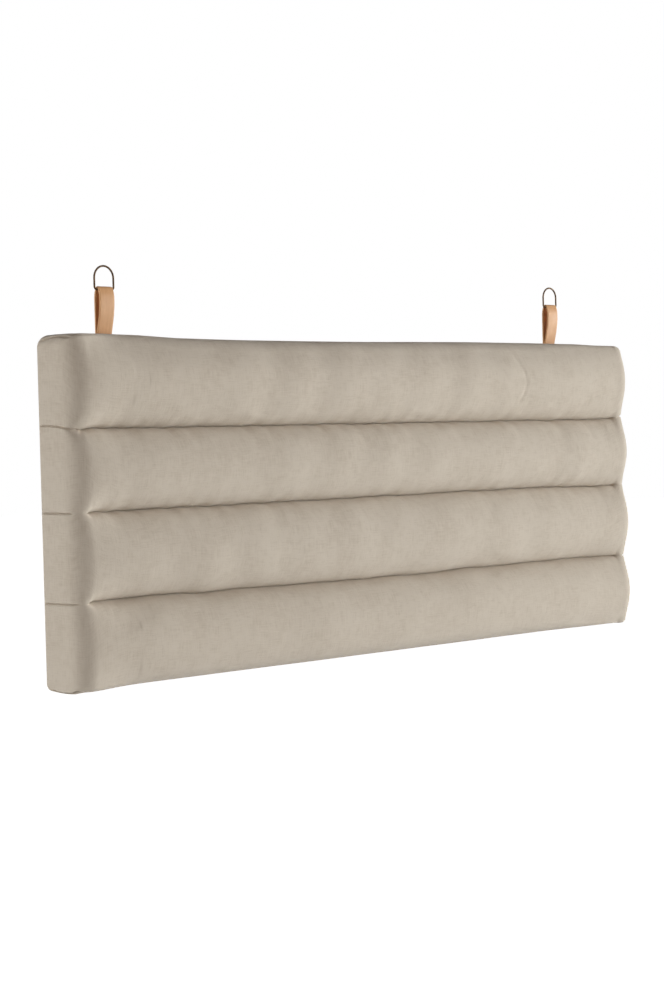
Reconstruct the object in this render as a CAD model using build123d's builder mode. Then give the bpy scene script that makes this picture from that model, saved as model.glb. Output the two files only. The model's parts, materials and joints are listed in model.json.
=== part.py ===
"""A channelled headboard panel that hangs on a wall from two leather straps with D-rings.

X runs along the panel from its centre. Y is 0 at the wall, and the front looks towards -Y. Z is
up, from the panel's middle height. All sizes are in millimetres.
"""

import os
from math import sqrt

from build123d import *

# The upholstered panel
panel_width = 1524.0
panel_height = 610.0
panel_depth = 112.0
channel_count = 4
groove_depth = 25.0
front_corner_radius = 38.0
groove_corner_radius = 25.0
back_corner_radius = 13.0
front_roll_radius = 10.0
back_roll_radius = 20.0
corner_station_shares = (0, 0.34, 0.62, 0.81, 0.93, 0.985, 1)

# Layers of the upholstery
cover_thickness = 1.5
padding_thickness = 10.0
cover_turn_in = 40.0
lining_thickness = 0.8
lining_margin = 18.0

# Timber frame and its plywood face
frame_depth = 34.0
board_thickness = 9.0
rail_height = 70.0
stile_width = 70.0
least_edge_ease = 5.0
ease_clearance = 0.5
tenon_length = 25.0
tenon_thickness = 12.0
tenon_shoulder = 13.0
block_leg = 60.0
block_thickness = 18.0

# Countersunk screws that hold the plywood face
board_screw_length = 30.0
board_screw_radius = 2.0
board_screw_head_radius = 4.0
board_screws_per_bay = 1

# Staples that hold the lining
staple_crown = 10.0
staple_leg = 9.0
staple_wire_width = 1.2
staple_spacing = 115.0
staple_inset = 9.0

# Leather straps, doubled round their rings
strap_inset = 149.0
strap_width = 32.0
leather_thickness = 3.5
strap_setback = 1.0
slot_clearance = 0.5
tail_length = 74.0
tail_corner_radius = 6.0
bend_height = 1.0
bend_clearance = 0.3
loop_height = 79.0
fold_width = 17.8

# Wire D-rings
ring_wire = 3.5
ring_width = 46.0
ring_height = 45.0
ring_corner_radius = 5.0
ring_wire_sides = 8
ring_clearance = 0.3

# Screws and cup washers of the straps
strap_screw_count = 2
strap_screw_spacing = 34.0
strap_screw_end_distance = 14.0
strap_screw_length = 24.0
strap_screw_radius = 2.0
strap_screw_head_radius = 3.8
strap_screw_setback = 0.2
recess_width = 0.9
recess_depth = 1.2
washer_radius = 7.0
washer_wall = 0.6

# Tips of all screws, and the flats that make their rounds
screw_tip_length = 4.0
screw_tip_radius = 0.5
turned_sides = 12

# Spare length of a cutting solid
overrun = 5.0

# Levels and widths that follow from the sizes above
half_width = panel_width / 2
half_height = panel_height / 2
channel_pitch = panel_height / channel_count
channel_radius = (channel_pitch**2 / 4 + groove_depth**2) / (2 * groove_depth)
frame_half_width = half_width - cover_thickness - padding_thickness
frame_half_height = half_height - cover_thickness - padding_thickness
frame_back = -lining_thickness - cover_thickness
roll_ease = back_roll_radius - cover_thickness - padding_thickness + ease_clearance
edge_ease = max(least_edge_ease, roll_ease)
frame_front = frame_back - frame_depth
frame_middle = (frame_back + frame_front) / 2
board_front = frame_front - board_thickness
rail_inner = frame_half_height - rail_height
rail_middle = frame_half_height - rail_height / 2
stile_middle = frame_half_width - stile_width / 2
lining_half_width = half_width - lining_margin
lining_half_height = half_height - lining_margin
strap_back = -strap_setback
strap_front = strap_back - 2 * leather_thickness
strap_middle = strap_back - leather_thickness
slot_width = strap_width + 2 * slot_clearance
bend_level = half_height + bend_height
tail_top = bend_level - leather_thickness - bend_clearance
tail_bottom = tail_top - tail_length
fold_radius = fold_width / 2
fold_level = bend_level + loop_height
fold_middle = strap_back - fold_radius
ring_bar_level = fold_level + fold_radius - leather_thickness - ring_clearance - ring_wire / 2
strap_places = {"left": strap_inset - half_width, "right": half_width - strap_inset}
stile_places = {
    "left_stile": -stile_middle,
    "left_centre_stile": -stile_middle / 3,
    "right_centre_stile": stile_middle / 3,
    "right_stile": stile_middle,
}


def corner_reach(radius, from_end):
    """How far a rounded corner stands proud of its centre, at a distance from its end."""
    across = max(radius - from_end, 0)
    return sqrt(radius**2 - across**2)


def front_section(inset, channel, across):
    """A channel's arched section at a place along the panel, to be trimmed by front_form."""
    from_end = half_width - inset - abs(across)
    crown = panel_depth - front_corner_radius
    crown += corner_reach(front_corner_radius - inset, from_end)
    crease = panel_depth - groove_depth - groove_corner_radius
    crease += corner_reach(groove_corner_radius - inset, from_end)
    arch_radius = (channel_pitch**2 / 4 + (crown - crease) ** 2) / (2 * (crown - crease))
    middle = half_height - (channel + 1 / 2) * channel_pitch
    low = max(middle - channel_pitch / 2 - overrun, inset - half_height)
    high = min(middle + channel_pitch / 2 + overrun, half_height - inset)
    low_edge = crown - arch_radius + sqrt(arch_radius**2 - (middle - low) ** 2)
    high_edge = crown - arch_radius + sqrt(arch_radius**2 - (high - middle) ** 2)
    behind = board_front + overrun
    with BuildSketch(Plane.YZ.offset(across)) as section:
        with BuildLine():
            ThreePointArc((-low_edge, low), (-crown, middle), (-high_edge, high))
            Polyline((-high_edge, high), (behind, high), (behind, low), (-low_edge, low))
        make_face()
        corners = section.vertices().sort_by(Axis.X)[:2].sort_by(Axis.Y)
        if channel == 0:
            fillet(corners[-1], front_roll_radius - inset)
        if channel == channel_count - 1:
            fillet(corners[0], front_roll_radius - inset)
    return section.sketch


def front_form(inset, channel):
    """A channel in front of the plywood, with rounded ends, drawn in by an inset."""
    top = half_height - channel * channel_pitch
    low = top - channel_pitch + inset
    high = top - inset
    if channel == 0:
        high += overrun
    if channel == channel_count - 1:
        low -= overrun
    corner = front_corner_radius - inset
    half = [half_width - inset - corner * (1 - share) for share in corner_station_shares]
    with BuildPart() as form:
        for across in [-place for place in reversed(half)] + half:
            add(front_section(inset, channel, across))
        loft(ruled=True)
        box_between(
            (-half_width - overrun, -panel_depth - overrun, low),
            (half_width + overrun, board_front, high),
            mode=Mode.INTERSECT,
        )
    return form.part


def back_form(inset, low, high):
    """The padded form behind the plywood's face, between two heights, drawn in by an inset."""
    back = -lining_thickness - inset
    half_length = half_width - inset
    half_rise = half_height - inset
    with BuildPart() as form:
        with BuildSketch(Plane.XY.offset(low)) as plan:
            with BuildLine():
                Polyline(
                    (-half_length, board_front),
                    (half_length, board_front),
                    (half_length, back),
                    (-half_length, back),
                    close=True,
                )
            make_face()
            fillet(plan.vertices().group_by(Axis.Y)[-1], back_corner_radius - inset)
        extrude(amount=high - low)
        with BuildSketch(Plane.YZ.offset(-half_width)) as profile:
            with BuildLine():
                Polyline(
                    (board_front, -half_rise),
                    (back, -half_rise),
                    (back, half_rise),
                    (board_front, half_rise),
                    close=True,
                )
            make_face()
            fillet(profile.vertices().group_by(Axis.X)[-1], back_roll_radius - inset)
        extrude(amount=panel_width, mode=Mode.INTERSECT)
    return form.part


def box_between(low, high, mode=Mode.ADD):
    """A box given by its lowest and highest corners, in the piece that is being built."""
    with Locations(tuple((start + end) / 2 for start, end in zip(low, high))):
        Box(*(end - start for start, end in zip(low, high)), mode=mode)


def cut_strap_slots():
    """Leave room for both strap tails in the piece that is being built."""
    for middle in strap_places.values():
        box_between(
            (middle - slot_width / 2, strap_front, tail_bottom - slot_clearance),
            (middle + slot_width / 2, overrun, tail_top + overrun),
            mode=Mode.SUBTRACT,
        )


def write(piece, name):
    """Label a finished piece and write its file."""
    piece.part.label = name
    export_step(piece.part, f"parts/{name}.step")


def turned_form(stations):
    """A turned solid along +Z through stations of height and radius, with flats for its round."""
    with BuildPart() as form:
        for height, radius in stations:
            with BuildSketch(Plane.XY.offset(height)):
                RegularPolygon(radius, turned_sides)
        loft(ruled=True)
    return form.part


def screw_form(radius, head_radius, length):
    """A countersunk screw with a right-angled head: head's face at the origin, tip along +Z."""
    return turned_form(
        (
            (0, head_radius),
            (head_radius - radius, radius),
            (length - screw_tip_length, radius),
            (length, screw_tip_radius),
        )
    )


def tenon(middle, side, mode):
    """A stile's tenon, or its mortise in the rail, at the top (side 1) or bottom (side -1)."""
    low, high = sorted((side * rail_inner, side * (rail_inner + tenon_length)))
    half_tenon = stile_width / 2 - tenon_shoulder
    box_between(
        (middle - half_tenon, frame_middle - tenon_thickness / 2, low),
        (middle + half_tenon, frame_middle + tenon_thickness / 2, high),
        mode=mode,
    )


os.makedirs("parts", exist_ok=True)

# Screws of the plywood face: in each bay of both rails, and one in the middle of each stile
board_screw_points = [(middle, 0) for middle in stile_places.values()]
stile_middles = list(stile_places.values())
for left, right in zip(stile_middles, stile_middles[1:]):
    for step in range(1, board_screws_per_bay + 1):
        across = left + (right - left) * step / (board_screws_per_bay + 1)
        board_screw_points += [(across, rail_middle), (across, -rail_middle)]

with BuildPart() as board_screws:
    for across, level in board_screw_points:
        with Locations(Plane((across, board_front, level), x_dir=(1, 0, 0), z_dir=(0, 1, 0))):
            add(screw_form(board_screw_radius, board_screw_head_radius, board_screw_length))
write(board_screws, "board_screws")

# Screws of the strap tails, each in a cup washer that lies on the leather
strap_screw_levels = [
    tail_bottom + strap_screw_end_distance + step * strap_screw_spacing
    for step in range(strap_screw_count)
]
washer_planes = [
    Plane((middle, 0, level), x_dir=(1, 0, 0), z_dir=(0, -1, 0))
    for middle in strap_places.values()
    for level in strap_screw_levels
]
strap_screw_planes = [plane.offset(strap_screw_setback) for plane in washer_planes]

with BuildPart() as strap_screw_holes:
    with Locations(*strap_screw_planes):
        add(screw_form(strap_screw_radius, strap_screw_head_radius, strap_screw_length))

with BuildPart() as strap_screws:
    add(strap_screw_holes.part)
    with Locations(*strap_screw_planes):
        for turn in (0, 90):
            Box(
                strap_screw_head_radius,
                recess_width,
                recess_depth,
                rotation=(0, 0, turn),
                align=(Align.CENTER, Align.CENTER, Align.MIN),
                mode=Mode.SUBTRACT,
            )
write(strap_screws, "strap_screws")

with BuildPart() as strap_washer:
    cup_depth = strap_screw_setback + strap_screw_head_radius - strap_screw_radius
    mouth_radius = strap_screw_radius + cup_depth
    cup_wall = washer_wall * sqrt(2)
    add(turned_form(((0, washer_radius), (strap_setback, washer_radius))))
    add(
        turned_form(
            (
                (strap_setback, mouth_radius + cup_wall - strap_setback),
                (cup_depth, strap_screw_radius + cup_wall),
            )
        )
    )
    add(turned_form(((0, mouth_radius), (cup_depth, strap_screw_radius))), mode=Mode.SUBTRACT)

with BuildPart() as strap_washers:
    with Locations(*washer_planes):
        add(strap_washer.part)
write(strap_washers, "strap_washers")

# Timber frame. Every member is cut from one block whose back edges are eased all round, so that
# no sharp arris lies under the cover.
with BuildPart() as frame_block:
    box_between(
        (-frame_half_width, frame_front, -frame_half_height),
        (frame_half_width, frame_back, frame_half_height),
    )
    chamfer(frame_block.faces().sort_by(Axis.Y)[-1].edges(), edge_ease)

for name, side in (("top_rail", 1), ("bottom_rail", -1)):
    low, high = sorted((side * rail_inner, side * frame_half_height))
    with BuildPart() as rail:
        add(frame_block.part)
        box_between(
            (-half_width, frame_front, low),
            (half_width, frame_back, high),
            mode=Mode.INTERSECT,
        )
        for middle in stile_places.values():
            tenon(middle, side, Mode.SUBTRACT)
        add(board_screws.part, mode=Mode.SUBTRACT)
        if side > 0:
            cut_strap_slots()
            add(strap_screw_holes.part, mode=Mode.SUBTRACT)
    write(rail, name)

for name, middle in stile_places.items():
    with BuildPart() as stile:
        add(frame_block.part)
        box_between(
            (middle - stile_width / 2, frame_front, -rail_inner),
            (middle + stile_width / 2, frame_back, rail_inner),
            mode=Mode.INTERSECT,
        )
        tenon(middle, 1, Mode.ADD)
        tenon(middle, -1, Mode.ADD)
        add(board_screws.part, mode=Mode.SUBTRACT)
    write(stile, name)

stile_inner = frame_half_width - stile_width
for row, side in (("top", 1), ("bottom", -1)):
    for column, end in (("left", -1), ("right", 1)):
        with BuildPart() as block:
            with BuildSketch(Plane.XZ.offset(-frame_front)):
                with BuildLine():
                    Polyline(
                        (end * stile_inner, side * rail_inner),
                        (end * (stile_inner - block_leg), side * rail_inner),
                        (end * stile_inner, side * (rail_inner - block_leg)),
                        close=True,
                    )
                make_face()
            extrude(amount=-block_thickness)
        write(block, f"{row}_{column}_block")

with BuildPart() as front_board:
    box_between(
        (-frame_half_width, board_front, -frame_half_height),
        (frame_half_width, frame_front, frame_half_height),
    )
    add(board_screws.part, mode=Mode.SUBTRACT)
write(front_board, "front_board")

# Foam and cover of each channel, from the top down. A channel's cover turns in at its creases
# and runs back between the foams to the plywood. On the sides the covers meet flush.
for channel in range(channel_count):
    high = half_height - channel * channel_pitch
    low = high - channel_pitch
    with BuildPart() as foam_channel:
        add(front_form(cover_thickness, channel))
    write(foam_channel, f"foam_channel_{channel + 1}")

    with BuildPart() as cover_channel:
        add(front_form(0, channel))
        add(foam_channel.part, mode=Mode.SUBTRACT)
        add(back_form(0, low, high))
        add(back_form(cover_thickness, low, high), mode=Mode.SUBTRACT)
        box_between(
            (cover_turn_in - half_width, frame_back, cover_turn_in - half_height),
            (half_width - cover_turn_in, overrun, half_height - cover_turn_in),
            mode=Mode.SUBTRACT,
        )
        if channel == 0:
            cut_strap_slots()
    write(cover_channel, f"cover_channel_{channel + 1}")

# Foam strips round the frame's edges
for name, side in (("top_padding", 1), ("bottom_padding", -1)):
    low, high = sorted((side * frame_half_height, side * half_height))
    with BuildPart() as padding:
        add(back_form(cover_thickness, low, high))
        box_between(
            (-frame_half_width, board_front, low),
            (frame_half_width, 0, high),
            mode=Mode.INTERSECT,
        )
        if side > 0:
            cut_strap_slots()
    write(padding, name)

for name, side in (("left_padding", -1), ("right_padding", 1)):
    near, far = sorted((side * frame_half_width, side * half_width))
    with BuildPart() as padding:
        add(back_form(cover_thickness, -half_height, half_height))
        box_between((near, board_front, -half_height), (far, 0, half_height), mode=Mode.INTERSECT)
    write(padding, name)

# Lining of the back and its staples, whose crowns lie flush in the cloth
staple_planes = []
staple_row = lining_half_height - staple_inset
staple_column = lining_half_width - staple_inset
row_steps = round(2 * staple_column / staple_spacing)
column_steps = round(2 * staple_row / staple_spacing)
for step in range(row_steps + 1):
    across = -staple_column + 2 * staple_column * step / row_steps
    to_strap = min(abs(across - middle) for middle in strap_places.values())
    levels = [-staple_row, staple_row]
    if to_strap < (slot_width + staple_crown) / 2:
        levels = [-staple_row]
    for level in levels:
        staple_planes.append(Plane((across, 0, level), x_dir=(1, 0, 0), z_dir=(0, -1, 0)))
for step in range(1, column_steps):
    level = -staple_row + 2 * staple_row * step / column_steps
    for across in (-staple_column, staple_column):
        staple_planes.append(Plane((across, 0, level), x_dir=(0, 0, 1), z_dir=(0, -1, 0)))

with BuildPart() as staple:
    standing = (Align.CENTER, Align.CENTER, Align.MIN)
    Box(staple_crown, staple_wire_width, lining_thickness, align=standing)
    for side in (-1, 1):
        with Locations((side * (staple_crown - lining_thickness) / 2, 0, 0)):
            Box(lining_thickness, staple_wire_width, staple_leg, align=standing)

with BuildPart() as back_cloth_staples:
    with Locations(*staple_planes):
        add(staple.part)
write(back_cloth_staples, "back_cloth_staples")

with BuildPart() as back_cloth:
    box_between(
        (-lining_half_width, -lining_thickness, -lining_half_height),
        (lining_half_width, 0, lining_half_height),
    )
    cut_strap_slots()
    add(back_cloth_staples.part, mode=Mode.SUBTRACT)
write(back_cloth, "back_cloth")

# Straps and rings. Each strap is one doubled band: its tail is flat and fixed, and its loop
# bends about the line where the leather leaves the panel.
front_leg = strap_back - fold_width
leg_reach = strap_front - front_leg
leg_radius = (loop_height**2 + leg_reach**2) / (2 * leg_reach)
fork_drop = sqrt(
    (leg_radius - leather_thickness) ** 2 - (leg_radius - leather_thickness - leg_reach) ** 2
)
ring_half = (ring_width - ring_wire) / 2
ring_top = ring_bar_level + ring_height - ring_wire
corner_start = ring_half - ring_corner_radius
corner_rise = ring_corner_radius * (1 - sqrt(1 / 2))

for side, middle in strap_places.items():
    with BuildPart() as strap_tail:
        with BuildSketch(Plane.XZ.offset(-strap_back)) as outline:
            with Locations((middle, (tail_top + tail_bottom) / 2)):
                Rectangle(strap_width, tail_length)
            fillet(outline.vertices().group_by(Axis.Y)[0], tail_corner_radius)
        extrude(amount=2 * leather_thickness)
        add(strap_washers.part, mode=Mode.SUBTRACT)
        add(strap_screw_holes.part, mode=Mode.SUBTRACT)
    write(strap_tail, f"{side}_strap_tail")

    with BuildPart() as strap_loop:
        with BuildSketch(Plane.YZ.offset(middle - strap_width / 2)):
            with BuildLine():
                ThreePointArc(
                    (strap_front, bend_level),
                    (strap_middle, bend_level - leather_thickness),
                    (strap_back, bend_level),
                )
                Line((strap_back, bend_level), (strap_back, fold_level))
                ThreePointArc(
                    (strap_back, fold_level),
                    (fold_middle, fold_level + fold_radius),
                    (front_leg, fold_level),
                )
                TangentArc((front_leg, fold_level), (strap_front, bend_level), tangent=(0, -1))
            make_face()
            with BuildLine():
                Line((strap_middle, fold_level - fork_drop), (strap_middle, fold_level))
                ThreePointArc(
                    (strap_middle, fold_level),
                    (fold_middle, fold_level + fold_radius - leather_thickness),
                    (front_leg + leather_thickness, fold_level),
                )
                TangentArc(
                    (front_leg + leather_thickness, fold_level),
                    (strap_middle, fold_level - fork_drop),
                    tangent=(0, -1),
                )
            make_face(mode=Mode.SUBTRACT)
        extrude(amount=strap_width)
    write(strap_loop, f"{side}_strap_loop")

    with BuildPart() as ring:
        with BuildLine():
            Line(
                (middle, fold_middle, ring_bar_level),
                (middle + corner_start, fold_middle, ring_bar_level),
            )
            ThreePointArc(
                (middle + corner_start, fold_middle, ring_bar_level),
                (middle + ring_half - corner_rise, fold_middle, ring_bar_level + corner_rise),
                (middle + ring_half, fold_middle, ring_bar_level + ring_corner_radius),
            )
            Line(
                (middle + ring_half, fold_middle, ring_bar_level + ring_corner_radius),
                (middle + ring_half, fold_middle, ring_top - ring_half),
            )
            ThreePointArc(
                (middle + ring_half, fold_middle, ring_top - ring_half),
                (
                    middle + ring_half * sqrt(1 / 2),
                    fold_middle,
                    ring_top - ring_half * (1 - sqrt(1 / 2)),
                ),
                (middle, fold_middle, ring_top),
            )
        with BuildSketch(Plane((middle, fold_middle, ring_bar_level), z_dir=(1, 0, 0))):
            RegularPolygon(ring_wire / 2, ring_wire_sides)
        sweep()
        mirror(about=Plane.YZ.offset(middle))
    write(ring, f"{side}_ring")
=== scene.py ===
"""Looks of a channelled headboard that hangs on a wall from two leather straps with D-rings.

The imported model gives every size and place. The covers are padded forms wrapped round the panel,
the straps are doubled leather bands, and the rings are bent wire. Lengths are in metres: X runs
along the panel, Y into the wall, and Z is up.
"""

import json
import logging
import math
from collections.abc import Callable
from dataclasses import dataclass, replace
from enum import Enum

import bmesh
import bpy
import numpy as np
from mathutils import Matrix, Vector


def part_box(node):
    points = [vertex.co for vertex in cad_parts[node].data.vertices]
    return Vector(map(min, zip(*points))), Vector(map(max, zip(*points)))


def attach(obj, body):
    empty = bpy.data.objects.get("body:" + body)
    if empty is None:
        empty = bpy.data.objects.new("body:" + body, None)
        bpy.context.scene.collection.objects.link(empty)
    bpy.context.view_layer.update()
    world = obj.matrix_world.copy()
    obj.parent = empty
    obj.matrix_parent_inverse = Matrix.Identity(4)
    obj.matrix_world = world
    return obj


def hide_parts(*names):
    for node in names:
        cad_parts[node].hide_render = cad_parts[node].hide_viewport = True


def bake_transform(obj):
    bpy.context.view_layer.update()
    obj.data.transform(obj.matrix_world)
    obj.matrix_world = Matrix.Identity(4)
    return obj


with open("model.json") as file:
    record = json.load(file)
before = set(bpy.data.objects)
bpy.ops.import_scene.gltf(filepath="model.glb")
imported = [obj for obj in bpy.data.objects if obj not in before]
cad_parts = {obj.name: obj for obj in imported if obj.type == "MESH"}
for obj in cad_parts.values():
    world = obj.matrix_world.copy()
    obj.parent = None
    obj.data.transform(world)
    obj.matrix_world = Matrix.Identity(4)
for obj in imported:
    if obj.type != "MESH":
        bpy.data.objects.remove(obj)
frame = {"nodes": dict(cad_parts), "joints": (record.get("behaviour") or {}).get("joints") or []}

LOG = logging.getLogger("headboard")
HELD = "held"
PATTERN = "pattern"
EDGE_PADDING = ("top_padding", "left_padding", "right_padding", "bottom_padding")
Triple = tuple[float, float, float]
Rgb = Triple
Place = Triple
Curve = tuple[tuple[float, float], ...]
Socket = bpy.types.NodeSocket
Material = bpy.types.Material
Piece = bpy.types.Object


def linear(colour: Rgb) -> tuple[float, ...]:
    """Turn a display colour into the linear colour that a shader takes.

    Args:
        colour: Red, green and blue as seen, from 0 to 1.

    Returns:
        The linear colour, with an alpha of 1.
    """
    steps = [c / 12.92 if c <= 0.04045 else ((c + 0.055) / 1.055) ** 2.4 for c in colour]
    return (*steps, 1.0)


def smooth_step(value: np.ndarray) -> np.ndarray:
    """Ease a value from 0 to 1 with level ends."""
    share = np.clip(value, 0.0, 1.0)
    return share * share * (3.0 - 2.0 * share)


def along_curve(places: np.ndarray, curve: Curve) -> np.ndarray:
    """Read values between a curve's stops, held at its ends."""
    stops, values = zip(*curve)
    return np.interp(places, stops, values)


class Wiring:
    """A node tree under construction."""

    def __init__(self, tree: bpy.types.NodeTree) -> None:
        """Take up a tree.

        Args:
            tree: The tree that gets the nodes.
        """
        self.tree = tree

    def wire(self, node: bpy.types.Node, inputs: dict) -> None:
        """Set or wire the inputs of a node.

        Args:
            node: The node.
            inputs: Values or sockets by the name or index of the input they go to.
        """
        for key, value in inputs.items():
            if isinstance(value, Socket):
                self.tree.links.new(value, node.inputs[key])
            else:
                node.inputs[key].default_value = value

    def add(self, kind: str, inputs: dict, **settings: object) -> bpy.types.Node:
        """Add a node and wire it.

        Args:
            kind: The node's type.
            inputs: Values or sockets by the name or index of the input they go to.
            settings: The node's own properties.

        Returns:
            The new node.
        """
        node = self.tree.nodes.new(kind)
        for key, value in settings.items():
            setattr(node, key, value)
        self.wire(node, inputs)
        return node

    def math(self, operation: str, *values: object) -> Socket:
        """Work out one number from others, with a math node."""
        return self.add("ShaderNodeMath", dict(enumerate(values)), operation=operation).outputs[0]

    def spread(
        self, value: Socket, low: float, high: float, start: float = 0.0, end: float = 1.0
    ) -> Socket:
        """Map a number from one range to another, held at its ends."""
        inputs = {"Value": value, "From Min": low, "From Max": high, "To Min": start, "To Max": end}
        return self.add("ShaderNodeMapRange", inputs).outputs["Result"]

    def seen_directly(self) -> Socket:
        """Tell what the camera or a reflection sees from what only gives light.

        Returns:
            One where a surface is seen so, and zero elsewhere.
        """
        path = self.add("ShaderNodeLightPath", {}).outputs
        seen = self.math("MAXIMUM", path["Is Camera Ray"], path["Is Glossy Ray"])
        return self.math("MAXIMUM", seen, path["Is Transmission Ray"])


class Recipe(Wiring):
    """A node material under construction."""

    def __init__(self, name: str) -> None:
        """Start a material with its principled shader.

        Args:
            name: The material's name.
        """
        self.material = bpy.data.materials.new(name)
        self.material.use_nodes = True
        super().__init__(self.material.node_tree)
        self.shader = self.tree.nodes["Principled BSDF"]

    def stretched(self, vector: Socket, scale: Triple) -> Socket:
        """Multiply a position by a scale along each axis."""
        node = self.add("ShaderNodeVectorMath", {0: vector, 1: scale}, operation="MULTIPLY")
        return node.outputs[0]

    def noise(
        self, vector: Socket, scale: float, detail: float = 2.0, rough: float = 0.5
    ) -> Socket:
        """Cloudy noise from 0 to 1 at a number of clouds per metre."""
        inputs = {"Vector": vector, "Scale": scale, "Detail": detail, "Roughness": rough}
        return self.add("ShaderNodeTexNoise", inputs).outputs["Fac"]

    def mix(self, factor: Socket, first: Rgb, second: Rgb) -> Socket:
        """Mix two display colours."""
        inputs = {0: factor, 6: linear(first), 7: linear(second)}
        return self.add("ShaderNodeMix", inputs, data_type="RGBA").outputs[2]

    def bump(self, height: Socket, depth: float) -> Socket:
        """Turn a height from 0 to 1 into a bumpy normal of a depth in metres."""
        return self.add("ShaderNodeBump", {"Height": height, "Distance": depth}).outputs["Normal"]

    def position(self) -> Socket:
        """The place on the object, in metres."""
        return self.add("ShaderNodeTexCoord", {}).outputs["Object"]

    def laid_out(self) -> Socket:
        """The place on the flat pattern of a cloth or strap, in metres."""
        return self.add("ShaderNodeUVMap", {}, uv_map=PATTERN).outputs["UV"]

    def finish(self, inputs: dict) -> Material:
        """Set or wire the shader's own sockets, by name, and return the material."""
        self.wire(self.shader, inputs)
        return self.material


@dataclass(frozen=True)
class LinenFinish:
    """Slubby greige linen weave on the covers."""

    light: Rgb = (0.842, 0.796, 0.735)
    dark: Rgb = (0.758, 0.700, 0.630)
    thread: float = 0.0008
    slub_length: float = 0.030
    mottles: float = 60.0
    clouds: float = 11.0
    weave_depth: float = 0.0002

    def material(self) -> Material:
        """Make the linen: crossed threads, slubs both ways, and a faint mottle.

        Returns:
            The material.
        """
        recipe = Recipe("greige_linen")
        flat = recipe.laid_out()
        per_metre = 1.0 / self.thread
        along = 1.0 / self.slub_length
        weft = recipe.noise(recipe.stretched(flat, (along, per_metre / 2, 1.0)), 1.0, 3.0, 0.6)
        warp = recipe.noise(recipe.stretched(flat, (per_metre / 2, along, 1.0)), 1.0, 3.0, 0.6)
        mottle = recipe.noise(flat, self.mottles, 4.0, 0.65)
        cloud = recipe.noise(flat, self.clouds)
        threads = recipe.math("ADD", weft, warp)
        tone = recipe.math("MULTIPLY_ADD", mottle, 0.7, threads)
        tone = recipe.math("MULTIPLY_ADD", cloud, 0.5, tone)
        colour = recipe.mix(recipe.spread(tone, 1.0, 1.7), self.dark, self.light)
        angle = math.tau * per_metre / 2
        split = recipe.add("ShaderNodeSeparateXYZ", {0: flat})
        across = recipe.math("SINE", recipe.math("MULTIPLY", split.outputs[0], angle))
        upward = recipe.math("SINE", recipe.math("MULTIPLY", split.outputs[1], angle))
        weave = recipe.math("MULTIPLY", across, upward)
        height = recipe.math("MULTIPLY_ADD", weave, 0.35, threads)
        return recipe.finish({
            "Base Color": colour,
            "Roughness": 0.95,
            "Specular IOR Level": 0.2,
            "Sheen Weight": 0.15,
            "Sheen Roughness": 0.6,
            "Normal": recipe.bump(height, self.weave_depth),
        })


@dataclass(frozen=True)
class LeatherFinish:
    """One of the strap leather's three surfaces."""

    name: str
    light: Rgb
    dark: Rgb
    roughness: float
    grain: float = 900.0
    grain_depth: float = 0.00025
    streak: Triple = (260.0, 22.0, 1.0)
    patch: float = 45.0
    wear: float = 0.08

    def material(self) -> Material:
        """Make the leather: fine grain, long streaks and a worn, uneven tone.

        Returns:
            The material.
        """
        recipe = Recipe(self.name)
        flat = recipe.laid_out()
        grain = recipe.noise(flat, self.grain, 3.0, 0.6)
        streaks = recipe.noise(recipe.stretched(flat, self.streak), 1.0, 3.0)
        patches = recipe.noise(flat, self.patch, 3.0)
        tone = recipe.math("MULTIPLY_ADD", grain, 0.4, recipe.math("ADD", streaks, patches))
        colour = recipe.mix(recipe.spread(tone, 0.8, 1.6), self.dark, self.light)
        smooth, worn = self.roughness - self.wear, self.roughness + self.wear
        rough = recipe.spread(patches, 0.3, 0.7, smooth, worn)
        return recipe.finish({
            "Base Color": colour,
            "Roughness": rough,
            "Specular IOR Level": 0.4,
            "Normal": recipe.bump(grain, self.grain_depth),
        })


@dataclass(frozen=True)
class MetalFinish:
    """A metal with an uneven surface: the rings' bronze or the fasteners' zinc."""

    name: str
    light: Rgb
    dark: Rgb
    roughness: float
    patch: float
    metallic: float = 1.0
    scratch: Triple = (400.0, 2600.0, 400.0)
    scratch_depth: float = 0.00005

    def material(self) -> Material:
        """Make the metal: patches of tone, fine scratches and a slightly rough skin.

        Returns:
            The material.
        """
        recipe = Recipe(self.name)
        place = recipe.position()
        patches = recipe.noise(place, self.patch, 4.0, 0.6)
        scratches = recipe.noise(recipe.stretched(place, self.scratch), 1.0)
        tone = recipe.math("MULTIPLY_ADD", scratches, 0.3, patches)
        colour = recipe.mix(recipe.spread(tone, 0.4, 0.85), self.dark, self.light)
        rough = recipe.spread(patches, 0.3, 0.7, self.roughness + 0.12, self.roughness - 0.08)
        return recipe.finish({
            "Base Color": colour,
            "Roughness": rough,
            "Metallic": self.metallic,
            "Normal": recipe.bump(scratches, self.scratch_depth),
        })


@dataclass(frozen=True)
class WoodFinish:
    """Unfinished wood with its grain along one axis."""

    name: str
    light: Rgb
    dark: Rgb
    stretch: Triple
    rings: float = 7.0
    pore: Triple = (90.0, 1400.0, 1400.0)
    pore_depth: float = 0.0001

    def material(self) -> Material:
        """Make the wood: growth rings drawn out along the grain, and fine pores.

        Returns:
            The material.
        """
        recipe = Recipe(self.name)
        place = recipe.position()
        drawn = recipe.stretched(place, self.stretch)
        rings = recipe.noise(drawn, 1.0, 5.0, 0.55)
        bands = recipe.math("FRACT", recipe.math("MULTIPLY", rings, self.rings))
        pores = recipe.noise(recipe.stretched(place, self.pore), 1.0)
        tone = recipe.math("MULTIPLY_ADD", pores, 0.4, bands)
        colour = recipe.mix(recipe.spread(tone, 0.1, 1.2), self.light, self.dark)
        return recipe.finish({
            "Base Color": colour,
            "Roughness": 0.75,
            "Normal": recipe.bump(pores, self.pore_depth),
        })


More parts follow.
